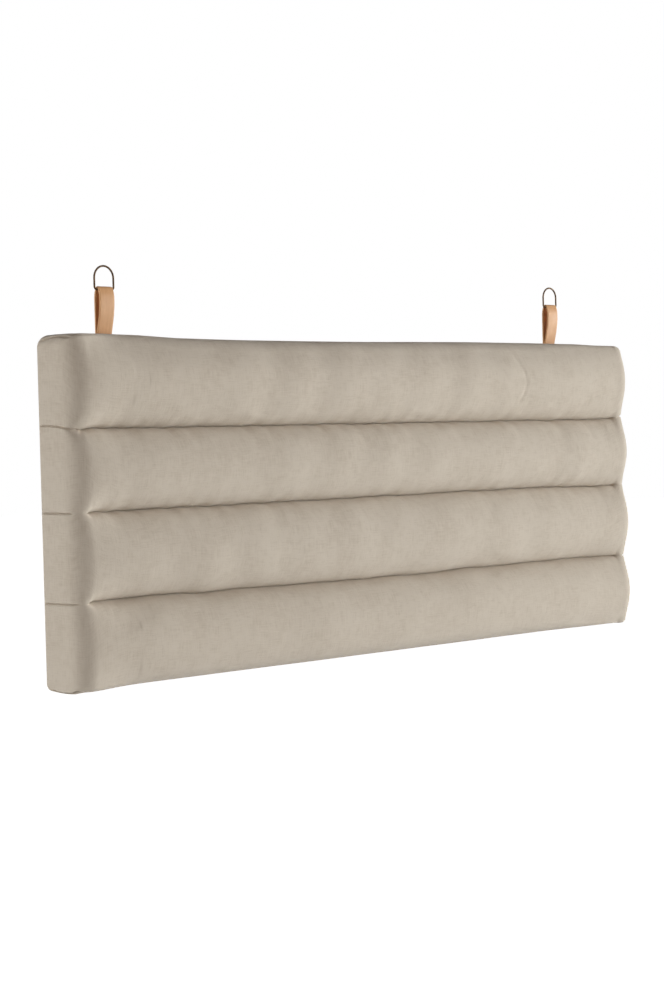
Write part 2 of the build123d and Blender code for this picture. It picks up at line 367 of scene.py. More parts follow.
@dataclass(frozen=True)
class LiningFinish:
    """Thin black non-woven cloth with its embossed dots."""

    light: Rgb = (0.150, 0.148, 0.145)
    dark: Rgb = (0.085, 0.083, 0.082)
    dots: float = 420.0
    fibres: float = 700.0
    depth: float = 0.0002

    def material(self) -> Material:
        """Make the lining: matted fibres and a lattice of pressed dots.

        Returns:
            The material.
        """
        recipe = Recipe("black_lining")
        flat = recipe.laid_out()
        fibres = recipe.noise(flat, self.fibres, 4.0, 0.7)
        inputs = {"Vector": flat, "Scale": self.dots, "Randomness": 0.0}
        lattice = recipe.add("ShaderNodeTexVoronoi", inputs, voronoi_dimensions="2D").outputs[0]
        pressed = recipe.spread(lattice, 0.12, 0.3)
        tone = recipe.math("MULTIPLY", fibres, pressed)
        colour = recipe.mix(recipe.spread(tone, 0.2, 0.7), self.dark, self.light)
        return recipe.finish({
            "Base Color": colour,
            "Roughness": 0.9,
            "Specular IOR Level": 0.25,
            "Normal": recipe.bump(tone, self.depth),
        })


@dataclass
class Wardrobe:
    """Every finish of the headboard, made once."""

    linen: Material
    hair_side: Material
    flesh_side: Material
    cut_edge: Material
    bronze: Material
    zinc: Material
    timber: Material
    plywood: Material
    lining: Material

    @classmethod
    def make(cls) -> "Wardrobe":
        """Make all the materials.

        Returns:
            The wardrobe with its materials.
        """
        hair = LeatherFinish("strap_leather", (0.90, 0.70, 0.50), (0.83, 0.61, 0.41), 0.5)
        # The flesh side lines the inside of the loop: its dark brown is partly the leather's own
        # and partly painted shade of the loop's inside.
        flesh_and_shade = LeatherFinish("strap_flesh_side", (0.47, 0.25, 0.13), (0.33, 0.15, 0.07), 0.85)
        edge = LeatherFinish("strap_cut_edge", (0.90, 0.78, 0.70), (0.80, 0.64, 0.54), 0.8)
        bronze = MetalFinish("antique_bronze", (0.34, 0.26, 0.18), (0.15, 0.10, 0.07), 0.44, 160.0)
        zinc = MetalFinish("zinc_plate", (0.76, 0.76, 0.74), (0.58, 0.58, 0.56), 0.35, 240.0)
        timber = WoodFinish("timber", (0.86, 0.74, 0.55), (0.72, 0.56, 0.36), (1.6, 22.0, 22.0))
        plywood = WoodFinish("plywood", (0.84, 0.72, 0.54), (0.70, 0.55, 0.37), (1.2, 60.0, 14.0))
        return cls(
            linen=LinenFinish().material(),
            hair_side=hair.material(),
            flesh_side=flesh_and_shade.material(),
            cut_edge=edge.material(),
            bronze=bronze.material(),
            zinc=zinc.material(),
            timber=timber.material(),
            plywood=plywood.material(),
            lining=LiningFinish().material(),
        )


class Ripples:
    """A gentle unevenness that repeats nowhere in sight and is the same at every run."""

    most_tilt = 0.35

    def __init__(self, seed: int, shortest: float, longest: float, waves: int = 9) -> None:
        """Draw the waves.

        Args:
            seed: Seed of the draw.
            shortest: Shortest wavelength, in metres.
            longest: Longest wavelength, in metres.
            waves: Number of waves.
        """
        draw = np.random.RandomState(seed)
        lengths = np.exp(draw.uniform(math.log(shortest), math.log(longest), waves))
        self.rates = math.tau / lengths
        self.tilts = draw.uniform(-self.most_tilt, self.most_tilt, waves)
        self.phases = draw.uniform(0.0, math.tau, waves)

    def __call__(self, along: np.ndarray, upward: np.ndarray | float = 0.0) -> np.ndarray:
        """Work out the unevenness at places on the cloth.

        Args:
            along: How far along the cloth they lie.
            upward: How far up the cloth they lie.

        Returns:
            Its height at each place, about -1 to 1.
        """
        total = np.zeros(np.broadcast(along, upward).shape)
        for rate, tilt, phase in zip(self.rates, self.tilts, self.phases):
            total = total + np.sin(rate * (along + tilt * upward) + phase)
        return total / math.sqrt(len(self.rates))


@dataclass(frozen=True)
class Plan:
    """Samples of the panel's outline seen from above, from the back round the front.

    Attributes:
        points: Places on the outline.
        normals: Directions out of the panel.
        run: Signed distance along the outline from the middle of the front.
    """

    points: np.ndarray
    normals: np.ndarray
    run: np.ndarray


@dataclass(frozen=True)
class PanelForm:
    """The padded panel's outer form: its box from the frame, and the radii within it.

    A pair of sizes for the panel's two ends has the left one first. Distances inward are taken
    from the edge of the near side, round the corner and along the front.
    """

    half_width: float
    half_height: float
    front: float
    back: float
    pitch: float
    board_front: float
    frame_back: float
    inner_half_width: float
    inner_half_height: float
    strap_middle: float
    strap_half_width: float
    strap_front: float
    corner_radius: float = 0.038
    back_corner_radius: float = 0.013
    corner_room: float = 0.001
    groove_depth: float = 0.025
    least_groove: float = 0.00001
    groove_starts: tuple[float, float] = (0.004, 0.0)
    groove_ends: tuple[float, float] = (0.150, 0.058)
    middle_roll: float = 0.040
    turn_in: float = 0.040
    column_step: float = 0.0045
    column_room: float = 0.001
    arc_steps: int = 16
    side_steps: int = 14
    back_steps: int = 6
    slot_ease: float = 0.0005
    slot_wall: float = 0.0004
    right_swell: float = 0.0036
    swell_middle: float = 0.034
    swell_width: float = 0.026
    left_slack: float = 0.0034
    slack_middle: float = 0.036
    slack_widths: tuple[float, float] = (0.028, 0.036)
    seam_fade: float = 0.012

    @classmethod
    def from_frame(cls) -> "PanelForm":
        """Read the form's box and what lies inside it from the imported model.

        Returns:
            The form.
        """
        low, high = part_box("cover_channel_2")
        board_low, board_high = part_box("front_board")
        tail_low, tail_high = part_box("right_strap_tail")
        return cls(
            half_width=high.x,
            half_height=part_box("cover_channel_1")[1].z,
            front=low.y,
            back=high.y,
            pitch=high.z - low.z,
            board_front=board_low.y,
            frame_back=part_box("top_rail")[1].y,
            inner_half_width=board_high.x,
            inner_half_height=board_high.z,
            strap_middle=(tail_low.x + tail_high.x) / 2,
            strap_half_width=(tail_high.x - tail_low.x) / 2,
            strap_front=tail_low.y,
        )

    @property
    def corner_start(self) -> float:
        """Run at which the front turns into the corner."""
        return self.half_width - self.corner_radius

    @property
    def corner_end(self) -> float:
        """Run at which the corner ends and the flat side begins."""
        return self.corner_start + self.corner_radius * math.pi / 2

    @property
    def half_slot(self) -> float:
        """Half the width of the slot that each strap tail lies in."""
        return self.strap_half_width + self.slot_ease

    def slot_edges(self) -> list[float]:
        """Places along X of the edges of both strap slots."""
        edges = (-self.half_slot, self.half_slot)
        return [side * self.strap_middle + edge for side in (-1, 1) for edge in edges]

    def columns(self) -> np.ndarray:
        """Space the mesh columns of the front and back, with close pairs at the strap slots.

        Returns:
            Their places along X.
        """
        count = round(2 * self.corner_start / self.column_step)
        even = np.linspace(-self.corner_start, self.corner_start, count + 1)
        half_wall = self.slot_wall / 2
        walls = [edge + part for edge in self.slot_edges() for part in (-half_wall, half_wall)]
        clear = np.min(np.abs(even[:, None] - np.array(walls)[None, :]), axis=1) > self.column_room
        return np.sort(np.concatenate([even[clear], walls]))

    def plan(self, closed: bool) -> Plan:
        """Sample the outline seen from above.

        Args:
            closed: Whether the outline runs on across the back, as on the top channel.

        Returns:
            The outline's samples, counter-clockwise.
        """
        stretches: list[tuple[np.ndarray, np.ndarray]] = []

        def straight(xs: np.ndarray | float, ys: np.ndarray | float, degrees: float) -> None:
            """Add a straight stretch.

            Args:
                xs: Places along X.
                ys: Places along Y.
                degrees: Direction of its outer side.
            """
            angle = math.radians(degrees)
            places = np.stack(np.broadcast_arrays(xs, ys), 1)
            normal = np.array([[math.cos(angle), math.sin(angle)]])
            stretches.append((places, np.repeat(normal, len(places), 0)))

        def turn(centre: tuple[float, float], radius: float, start: float, steps: int) -> None:
            """Add the points between the ends of a quarter turn.

            Args:
                centre: Its centre.
                radius: Its radius.
                start: Direction in which it starts, in degrees.
                steps: Number of its steps.
            """
            angles = np.radians(np.linspace(start, start + 90.0, steps + 1))[1:-1]
            normals = np.stack([np.cos(angles), np.sin(angles)], 1)
            stretches.append((np.array([centre]) + radius * normals, normals))

        across = self.columns()
        reach = self.half_width - self.back_corner_radius
        back_middle = self.back - self.back_corner_radius
        front_middle = self.front + self.corner_radius
        ledge_start = self.corner_start if closed else self.half_width - self.turn_in
        ledge = np.linspace(-ledge_start, -reach, self.back_steps)[1 if closed else 0:]
        depths = np.linspace(back_middle, front_middle, self.side_steps + 1)
        straight(ledge, self.back, 90)
        turn((-reach, back_middle), self.back_corner_radius, 90, self.back_steps)
        straight(-self.half_width, depths, 180)
        turn((-self.corner_start, front_middle), self.corner_radius, 180, self.arc_steps)
        straight(across, self.front, 270)
        turn((self.corner_start, front_middle), self.corner_radius, 270, self.arc_steps)
        straight(self.half_width, depths[::-1], 360)
        turn((reach, back_middle), self.back_corner_radius, 360, self.back_steps)
        straight(-ledge[::-1], self.back, 450)
        if closed:
            straight(across[::-1], self.back, 450)
        points, normals = (np.concatenate(parts) for parts in zip(*stretches))
        lengths = np.linalg.norm(np.diff(points, axis=0), axis=1)
        travel = np.concatenate([[0.0], np.cumsum(lengths)])
        middle = travel[np.argmin(np.abs(points[:, 0]) + np.abs(points[:, 1] - self.front))]
        return Plan(points, normals, travel - middle)

    def inward(self, run: np.ndarray) -> np.ndarray:
        """How far each place of the outline lies from the near side's edge, round the corner."""
        return self.corner_end - np.abs(run)

    def groove(self, run: np.ndarray) -> np.ndarray:
        """How far a crease is drawn in round the outline: fully in front, and not at the sides.

        Args:
            run: Places along the outline.

        Returns:
            The depth at each place.
        """
        begin = np.where(run < 0, *self.groove_starts)
        full = np.where(run < 0, *self.groove_ends)
        return self.groove_depth * smooth_step((self.inward(run) - begin) / (full - begin))

    def swell(self, run: np.ndarray) -> np.ndarray:
        """How far the filling stands out round the right corner in a channel's middle."""
        aside = (self.inward(run) - self.swell_middle) / self.swell_width
        return self.right_swell * np.exp(-(aside**2)) * (run > 0)

    def slack(self, run: np.ndarray) -> np.ndarray:
        """How far the filling falls short of the left corner, which is rounder than the right.

        Args:
            run: Places along the outline.

        Returns:
            The shortfall at each place.
        """
        beyond = self.inward(run) - self.slack_middle
        aside = beyond / np.where(beyond > 0, self.slack_widths[1], self.slack_widths[0])
        return self.left_slack * np.exp(-(aside**2)) * (run < 0)

    def side_seam(self, plan: Plan, end: float) -> np.ndarray:
        """Share to which the flush seam of the sides shows.

        Args:
            plan: The outline's samples.
            end: How far it runs round the front corner.

        Returns:
            The shares, from 0 to 1.
        """
        fade = smooth_step((end - self.inward(plan.run)) / self.seam_fade)
        return fade * (plan.points[:, 1] < self.back - self.back_corner_radius / 2)


@dataclass(frozen=True)
class CreaseLine:
    """The level at which two covers meet, round the panel.

    Attributes:
        level: The level in the frame.
        shifts: Places along the outline, from the middle of the front, each with how far the
            real crease lies above the level there.
        seed: Seed of its wander.
        left_start: How far from the left side's edge the tuck starts, round the corner.
        seam_end: How far the flush seam of the side runs on round the corner.
        right_start: How far from the right side's edge the tuck starts.
        right_growth: How much longer the tuck takes to grow on the right.
        wander: How far it wanders up, and down where it is negative.
        waves: Shortest and longest wavelength of the wander.
        wander_end: How far from the middle of the front the wander ends.
        wander_fade: Length over which the wander fades there.
    """

    level: float
    shifts: Curve
    seed: int
    left_start: float
    seam_end: float
    right_start: float = 0.020
    right_growth: float = 0.040
    wander: float = 0.0008
    waves: tuple[float, float] = (0.045, 0.3)
    wander_end: float = 0.74
    wander_fade: float = 0.04

    def heights(self, run: np.ndarray) -> np.ndarray:
        """Follow the crease round the panel, with its slight wander.

        Args:
            run: Places along the outline.

        Returns:
            The crease's height at each place.
        """
        wander = Ripples(self.seed, *self.waves)(run) * self.wander
        front = smooth_step((self.wander_end - np.abs(run)) / self.wander_fade)
        return self.level + along_curve(run, self.shifts) + wander * front

    def tightness(self, inward: np.ndarray, on_left: np.ndarray, growth: float) -> np.ndarray:
        """Share to which the crease is drawn in: fully in front, gone round the corner.

        Args:
            inward: How far each place lies from the near side's edge, round the corner.
            on_left: Whether it lies in the left half.
            growth: Length over which it grows.

        Returns:
            The shares, from 0 to 1.
        """
        start = np.where(on_left, self.left_start, self.right_start)
        return smooth_step((inward - start) / np.where(on_left, growth, growth + self.right_growth))

    def turned_over(self) -> "CreaseLine":
        """The same crease seen upside down."""
        shifts = tuple((run, -shift) for run, shift in self.shifts)
        return replace(self, level=-self.level, shifts=shifts, wander=-self.wander)


def bezier(*stops: object) -> np.ndarray:
    """Points along a curve, without its first point.

    Args:
        stops: The curve's control points, each as (Y, Z), and the number of steps.

    Returns:
        The points, one row each.
    """
    controls, steps = np.array(stops[:-1]), stops[-1]
    shares = np.linspace(0.0, 1.0, steps + 1)[1:, None]
    degree = len(controls) - 1
    return sum(
        math.comb(degree, index) * shares**index * (1 - shares) ** (degree - index) * control
        for index, control in enumerate(controls)
    )


class Mesher:
    """Turns grids of points into a closed mesh."""

    nearest = 0.00002

    @staticmethod
    def closed_form(
        name: str, outer: np.ndarray, inner: np.ndarray, pattern: np.ndarray, ring: bool
    ) -> Piece:
        """Join an outer and an inner grid into one closed form.

        Args:
            name: The piece's name.
            outer: Points of the outer skin, by column and row.
            inner: Points of the inner face, in the same order.
            pattern: Places on the cloth's flat pattern, by column and row, with one column more
                than the skin where it closes in a ring.
            ring: Whether the last column joins the first.

        Returns:
            The new object.
        """
        columns, rows, _ = outer.shape
        points = np.concatenate([outer.reshape(-1, 3), inner.reshape(-1, 3)])
        inside = columns * rows
        faces: list[tuple[int, ...]] = []
        corners: list[tuple[tuple[int, int], ...]] = []

        def add(face: tuple[int, ...], grid: tuple[tuple[int, int], ...], turned: bool) -> None:
            """Add one face, by its points and by their places in the grid."""
            faces.append(face[::-1] if turned else face)
            corners.append(grid[::-1] if turned else grid)

        for column in range(columns if ring else columns - 1):
            following = (column + 1) % columns
            for row in range(rows - 1):
                here, there = column * rows + row, following * rows + row
                face = (here, there, there + 1, here + 1)
                grid = ((column, row), (column + 1, row), (column + 1, row + 1), (column, row + 1))
                add(face, grid, False)
                add(tuple(inside + index for index in face), grid, True)
            for row, turned in ((0, True),) if ring else ((0, True), (rows - 1, False)):
                here, there = column * rows + row, following * rows + row
                grid = ((column, row), (column + 1, row), (column + 1, row), (column, row))
                add((here, there, inside + there, inside + here), grid, turned)
        for column, turned in () if ring else ((0, False), (columns - 1, True)):
            for row in range(rows - 1):
                here = column * rows + row
                grid = ((column, row), (column, row + 1), (column, row + 1), (column, row))
                add((here, here + 1, inside + here + 1, inside + here), grid, turned)
        mesh = bpy.data.meshes.new(name)
        mesh.from_pydata(points.tolist(), [], faces)
        layer = mesh.uv_layers.new(name=PATTERN)
        places = np.array([pattern[c, r] for grid in corners for c, r in grid])
        layer.data.foreach_set("uv", places.astype(np.float32).ravel())
        piece = bpy.data.objects.new(name, mesh)
        bpy.context.scene.collection.objects.link(piece)
        return piece

    @classmethod
    def clean(cls, piece: Piece) -> None:
        """Merge doubles, drop faces without area and point all faces outwards.

        Args:
            piece: The piece to clean.
        """
        form = bmesh.new()
        form.from_mesh(piece.data)
        bmesh.ops.remove_doubles(form, verts=form.verts, dist=cls.nearest)
        bmesh.ops.dissolve_degenerate(form, edges=form.edges, dist=cls.nearest)
        bmesh.ops.recalc_face_normals(form, faces=form.faces)
        form.to_mesh(piece.data)
        form.free()
        piece.data.update()


def activate(piece: Piece) -> None:
    """Make a piece the only selected one, and active.

    Args:
        piece: The piece.
    """
    bpy.ops.object.select_all(action="DESELECT")
    piece.select_set(True)
    bpy.context.view_layer.objects.active = piece


def dress(piece: Piece, slot: str, *materials: Material) -> None:
    """Give a piece its materials.

    Args:
        piece: The piece.
        slot: The record's material slot; not used.
        materials: Its materials, in the order of its faces' indices.
    """
    piece.data.materials.clear()
    for material in materials:
        piece.data.materials.append(material)


@dataclass(frozen=True)
class Settling:
    """A short cloth run in which a sewn cover settles over its filling.

    It runs on a coarser copy of the form, with the seams, the back and the inside held. Its
    broad swelling is taken back, because the form already has its crown, and the soft creases
    that stay are carried over to the fine skin.
    """

    column_stride: int = 3
    row_stride: int = 2
    frames: int = 8
    pressure: float = 2.0
    spare: float = 0.008
    farthest: float = 0.00045
    fine_window: tuple[int, int] = (2, 1)
    broad_window: tuple[int, int] = (9, 7)
    freeing: float = 1.5
    core_scale: Triple = (0.94, 0.4, 0.9)
    core_shift: Triple = (0.0, -0.03, 0.0)
    linen: tuple[tuple[str, float], ...] = (
        ("quality", 5), ("mass", 0.25), ("tension_stiffness", 20.0),
        ("compression_stiffness", 20.0), ("shear_stiffness", 6.0), ("bending_stiffness", 0.8),
    )

    def creases(self, skin: np.ndarray, held: np.ndarray, ring: bool) -> np.ndarray:
        """Let a copy of the cover settle, and tell how far its skin moved.

        Args:
            skin: The outer skin, by column and row.
            held: How firmly each point of the skin is held.
            ring: Whether the last column joins the first.

        Returns:
            The movement of each point of the skin.
        """
        columns = self.kept(skin.shape[0], self.column_stride)
        rows = self.kept(skin.shape[1], self.row_stride)
        coarse, firm = skin[np.ix_(columns, rows)], held[np.ix_(columns, rows)]
        if ring:
            coarse[:, -1] = (coarse[:, -1] + coarse[:, -2]) / 2
        moved = self.settled(coarse, firm, ring) - coarse
        moved = self.averaged(moved, self.fine_window) - self.averaged(moved, self.broad_window)
        length = np.linalg.norm(moved, axis=2, keepdims=True)
        moved = moved * self.farthest * np.tanh(length / self.farthest) / np.maximum(length, 1e-9)
        free = smooth_step((1.0 - firm) * self.freeing)[:, :, None]
        fine = self.refined(moved * free, columns, rows, skin.shape)
        LOG.info("the cloth settled by up to %.2f mm", 1000 * np.linalg.norm(fine, axis=2).max())
        return fine

    def settled(self, coarse: np.ndarray, firm: np.ndarray, ring: bool) -> np.ndarray:
        """Run the cloth on a closed form of the coarser skin.

        Args:
            coarse: The skin's points, by column and row.
            firm: How firmly each of them is held.
            ring: Whether the last column joins the first.

        Returns:
            Their places after the run.
        """
        core = coarse * self.core_scale + self.core_shift
        pattern = np.zeros((len(coarse) + ring, coarse.shape[1], 2))
        piece = Mesher.closed_form("settling_form", coarse, core, pattern, ring)
        group = piece.vertex_groups.new(name=HELD)
        shares = np.concatenate([firm.ravel(), np.ones(firm.size)])
        for share in np.unique(shares):
            group.add(np.flatnonzero(shares == share).tolist(), float(share), "REPLACE")
        self.run(piece)
        mesh = piece.data
        places = np.empty(len(mesh.vertices) * 3)
        mesh.vertices.foreach_get("co", places)
        bpy.data.objects.remove(piece)
        bpy.data.meshes.remove(mesh)
        return places.reshape(-1, 3)[: firm.size].reshape(coarse.shape)

    def run(self, piece: Piece) -> None:
        """Run the cloth on a piece and apply it.

        Args:
            piece: The piece, with the group of its held points.
        """
        activate(piece)
        cloth = piece.modifiers.new("settling", "CLOTH")
        settings = cloth.settings
        for name, value in self.linen:
            setattr(settings, name, value)
        settings.use_pressure = True
        settings.uniform_pressure_force = self.pressure
        settings.shrink_min = -self.spare
        settings.vertex_group_mass = HELD
        settings.effector_weights.gravity = 0.0
        cloth.collision_settings.use_collision = False
        scene = bpy.context.scene
        for frame_number in range(1, self.frames + 1):
            scene.frame_set(frame_number)
        bpy.ops.object.modifier_apply(modifier=cloth.name)
        scene.frame_set(1)

    @staticmethod
    def kept(count: int, stride: int) -> np.ndarray:
        """Indices of the columns or rows that the coarser copy keeps, with both ends."""
        return np.unique(np.round(np.linspace(0, count - 1, (count - 1) // stride + 1)).astype(int))

    @staticmethod
    def averaged(moved: np.ndarray, window: tuple[int, int]) -> np.ndarray:
        """Average a movement over its neighbours, with the nearest counting most.

        Args:
            moved: The movement, by column and row.
            window: Number of columns and of rows that count to each side.

        Returns:
            The averaged movement.
        """
        for axis, width in enumerate(window):
            padding = [(0, 0)] * 3
            padding[axis] = (width, width)
            padded = np.pad(moved, padding, mode="edge")
            bell = np.hanning(2 * width + 3)[1:-1]
            bell = bell / bell.sum()
            moved = np.apply_along_axis(lambda line: np.convolve(line, bell, "valid"), axis, padded)
        return moved

    @staticmethod
    def refined(
        moved: np.ndarray, columns: np.ndarray, rows: np.ndarray, shape: tuple[int, ...]
    ) -> np.ndarray:
        """Carry a movement from the coarser copy over to every point of the skin.

        Args:
            moved: The movement, by kept column and row.
            columns: Indices of the kept columns.
            rows: Indices of the kept rows.
            shape: The skin's shape.

        Returns:
            The movement, by column and row of the skin.
        """
        for axis, kept in enumerate((columns, rows)):
            every = np.arange(shape[axis])
            moved = np.apply_along_axis(lambda line: np.interp(every, kept, line), axis, moved)
        return moved


@dataclass
class ChannelCover:
    """One channel's cover with the foam that fills it.

    A hollow's reach is the distance from the crease at which most of it has gone. A pair of
    sizes for the panel's two ends has the left one first. Curves give values at places along
    the front, and the line of the fold gives its place at each height.
    """

    form: PanelForm
    number: int
    low: CreaseLine | None
    high: CreaseLine | None
    rows: int = 40
    even_share: float = 0.27
    roll_shares: tuple[float, ...] = (
        0.1, 0.2, 0.3, 0.38, 0.42, 0.445, 0.47, 0.495, 0.52, 0.545, 0.57, 0.595, 0.62, 0.645,
        0.67, 0.695, 0.72, 0.75, 0.80, 0.88, 1.0,
    )
    cap_rows: int = 8
    # The roll over the panel's top edge.
    left_front_roll: float = 0.012
    right_front_roll: float = 0.016
    side_roll: float = 0.020
    back_roll: float = 0.022
    roll_growths: tuple[float, float] = (0.14, 0.25)
    corner_ease: float = 1.2
    back_start: float = 0.5
    back_growth: float = 0.4
    roll_hold: float = 1.3
    # The folded corner.
    dart_share: float = 0.57
    dart_depth: float = 0.0068
    dart_width: float = 0.055
    dart_arch: float = 0.20
    dart_middle: float = -0.018
    dart_half: float = 0.036
    dart_front: float = 0.020
    dart_front_fade: float = 0.006
    dart_back: float = 0.060
    dart_back_fade: float = 0.010
    # The tuck, the line in it, the pull of the cloth beside it, and its puckers.
    tuck_depth: float = 0.012
    tuck_reach: float = 0.0062
    tuck_growth: float = 0.042
    line_depth: float = 0.0060
    line_reach: float = 0.0016
    tuck_shares: Curve = (
        (-0.76, 1.7), (-0.60, 1.3), (0.20, 1.1), (0.60, 0.9), (0.70, 0.45), (0.74, 0.15)
    )
    pull_depth: float = 0.012
    pull_reach: float = 0.018
    pull_growth: float = 0.110
    pull_more: float = 0.35
    pull_more_start: float = -0.05
    pull_more_growth: float = 0.35
    pucker: float = 0.0004
    pucker_reach: float = 0.014
    pucker_seed: int = 60
    pucker_waves: tuple[float, float, int] = (0.010, 0.05, 14)
    pucker_more: float = 1.6
    pucker_more_reach: float = 0.09
    # The flush seam of the sides.
    seam_depth: float = 0.0048
    seam_reach: float = 0.0014
    # The broad hollows of the filling.
    hollow: float = 0.0008
    hollow_seed: int = 40
    hollow_waves: tuple[float, float] = (0.11, 0.6)
    hollow_fade: float = 0.03
    hollow_side_share: float = 0.35
    hollow_from_back: float = 0.020
    # An upright fold in the cloth.
    fold_line: Curve = ()
    fold_depth: float = 0.0009
    fold_width: float = 0.0055
    fold_ridge: float = 1.4
    fold_fade: float = 0.025
    # The closed top.
    dome: float = 0.0014
    dome_rise: float = 1.4
    spine_depth: float = 0.033
    spine_rise: float = 0.85
    side_arch: float = 0.0
    back_rise: float = 0.7
    edge_rises: Curve = ((-0.8, 0.0), (0.8, 0.0))
    leans: Curve = ((-0.8, 0.0), (0.8, 0.0))
    # How the skin is held while it settles, and what lies behind it.
    seam_hold: float = 0.012
    back_hold: float = 0.015
    least_filling: float = 0.0015
    smooth_below: float = 50.0
    slot_clearance: float = 0.0003

    def crown(self, plan: Plan, half: np.ndarray) -> np.ndarray:
        """Radius of the crown at each place of the outline, for half the channel's height."""
        sagitta = np.maximum(self.form.groove(plan.run), self.form.least_groove)[:, None]
        return (half**2 + sagitta**2) / (2 * sagitta)

    def drop(self, plan: Plan, offset: np.ndarray, half: np.ndarray) -> np.ndarray:
        """How far the skin lies inside the crown, at offsets from the channel's middle."""
        radius = self.crown(plan, half)
        return radius - np.sqrt(np.maximum(radius**2 - offset**2, 0.0))

    def row_shares(self, eased: Callable[[np.ndarray], np.ndarray], start: float) -> np.ndarray:
        """Space the rows from a start to 1, partly even and partly crowded at the creases.

        Args:
            eased: Turns even shares into crowded ones.
            start: The first share.

        Returns:
            The rows' shares.
        """
        even = np.linspace(start, 1.0, self.rows + 1)
        return self.even_share * even + (1 - self.even_share) * eased(even * math.pi / 2)

    def unevenness(self, plan: Plan, heights: np.ndarray, to_rim: np.ndarray) -> np.ndarray:
        """Broad hollows of the filling, and its swell or slack near the panel's ends.

        Args:
            plan: The outline's samples.
            heights: Heights of the skin's points.
            to_rim: How far they lie from a crease or from the top edge.

        Returns:
            How far the skin stands out at each point.
        """
        form = self.form
        along = plan.run[:, None]
        fade = self.hollow_fade
        front = smooth_step((form.corner_start + fade - np.abs(along)) / (2 * fade))
        ripples = Ripples(self.hollow_seed + self.number, *self.hollow_waves)
        broad = ripples(along, heights) * self.hollow
        crowned = np.sin(np.clip(to_rim / (form.pitch / 2), 0.0, 1.0) * math.pi / 2)
        swell = form.swell(plan.run)[:, None] * crowned
        slack = form.slack(plan.run)[:, None]
        behind = self.hollow_from_back
        from_back = smooth_step((form.back - behind - plan.points[:, 1]) / behind)[:, None]
        side = self.hollow_side_share
        broad = broad * (side + (1 - side) * front) * from_back
        return broad * smooth_step(to_rim / fade) + swell - slack - self.fold(plan, heights)

    def fold(self, plan: Plan, heights: np.ndarray) -> np.ndarray:
        """Lay a soft upright fold in the cloth: a shallow valley with a ridge beside it.

        Args:
            plan: The outline's samples.
            heights: Heights of the skin's points.

        Returns:
            How far the skin sinks in at each point.
        """
        if not self.fold_line:
            return np.zeros_like(heights)
        middle = along_curve(heights, self.fold_line)
        aside = (plan.run[:, None] - middle) / self.fold_width
        bottom, top = self.fold_line[0][0], self.fold_line[-1][0]
        ends = smooth_step((heights - bottom) / self.fold_fade)
        ends = ends * smooth_step((top - heights) / self.fold_fade)
        return self.fold_depth * ends * (1.0 - self.fold_ridge * aside) * np.exp(-(aside**2))

    def crease_drop(self, plan: Plan, to_crease: np.ndarray, line: CreaseLine) -> np.ndarray:
        """Draw in a crease: its sharp tuck and puckers in front, its thin seam on the sides.

        Args:
            plan: The outline's samples.
            to_crease: How far the skin's points lie from the crease.
            line: The crease.

        Returns:
            How far the skin is drawn in at each point.
        """
        inward = self.form.inward(plan.run)
        tuck = line.tightness(inward, plan.run < 0, self.tuck_growth)[:, None]
        pull = line.tightness(inward, plan.run < 0, self.pull_growth)[:, None]
        seam = self.form.side_seam(plan, line.seam_end)[:, None] * self.seam_depth
        along = plan.run[:, None]
        ripples = Ripples(self.pucker_seed + self.number, *self.pucker_waves)
        pucker = ripples(along, to_crease) * self.pucker
        near_end = 1.0 + self.pucker_more * np.exp(-inward / self.pucker_more_reach)[:, None]
        depth = self.tuck_depth * along_curve(plan.run, self.tuck_shares)[:, None]
        sharp = depth * np.exp(-to_crease / self.tuck_reach)
        sharp = sharp + self.line_depth * np.exp(-to_crease / self.line_reach)
        right = smooth_step((along - self.pull_more_start) / self.pull_more_growth)
        more = 1.0 + self.pull_more * right
        broad = self.pull_depth * more * np.exp(-to_crease / self.pull_reach)
        pulled = pucker * near_end * np.exp(-to_crease / self.pucker_reach)
        flush = seam * np.exp(-((to_crease / self.seam_reach) ** 2))
        return tuck * (sharp + pulled) + pull * broad + flush

    def corner_dart(self, plan: Plan, shares: np.ndarray) -> np.ndarray:
        """Draw the groove of the folded corner along the roll of each side's edge.

        Args:
            plan: The outline's samples.
            shares: How far over the roll each row lies, from 0 to 1.

        Returns:
            How far the skin is drawn in, by column and row.
        """
        inward = self.form.inward(plan.run)[:, None]
        along = smooth_step((self.dart_front - inward) / self.dart_front_fade)
        along = along * smooth_step((inward + self.dart_back) / self.dart_back_fade)
        from_middle = np.clip((inward - self.dart_middle) / self.dart_half, -1.0, 1.0)
        arch = self.dart_share - self.dart_arch * from_middle**2
        return self.dart_depth * along * np.exp(-(((shares - arch) / self.dart_width) ** 2))

    @staticmethod
    def place(plan: Plan, drop: np.ndarray, heights: np.ndarray) -> np.ndarray:
        """Points of the skin at a drop inside the outline and at heights."""
        flat = plan.points[:, None, :] - plan.normals[:, None, :] * drop[:, :, None]
        return np.concatenate([flat, heights[:, :, None]], axis=2)

    def firmness(self, plan: Plan, to_seam: np.ndarray) -> np.ndarray:
        """Tell how firmly the skin is held while it settles.

        Args:
            plan: The outline's samples.
            to_seam: How far the skin's points lie from a seam.

        Returns:
            The shares, from 0 for free to 1 for held.
        """
        from_back = (self.form.back - self.form.back_corner_radius - plan.points[:, 1])[:, None]
        free = smooth_step(to_seam / self.seam_hold) * smooth_step(from_back / self.back_hold)
        return np.round(1.0 - free, 2)

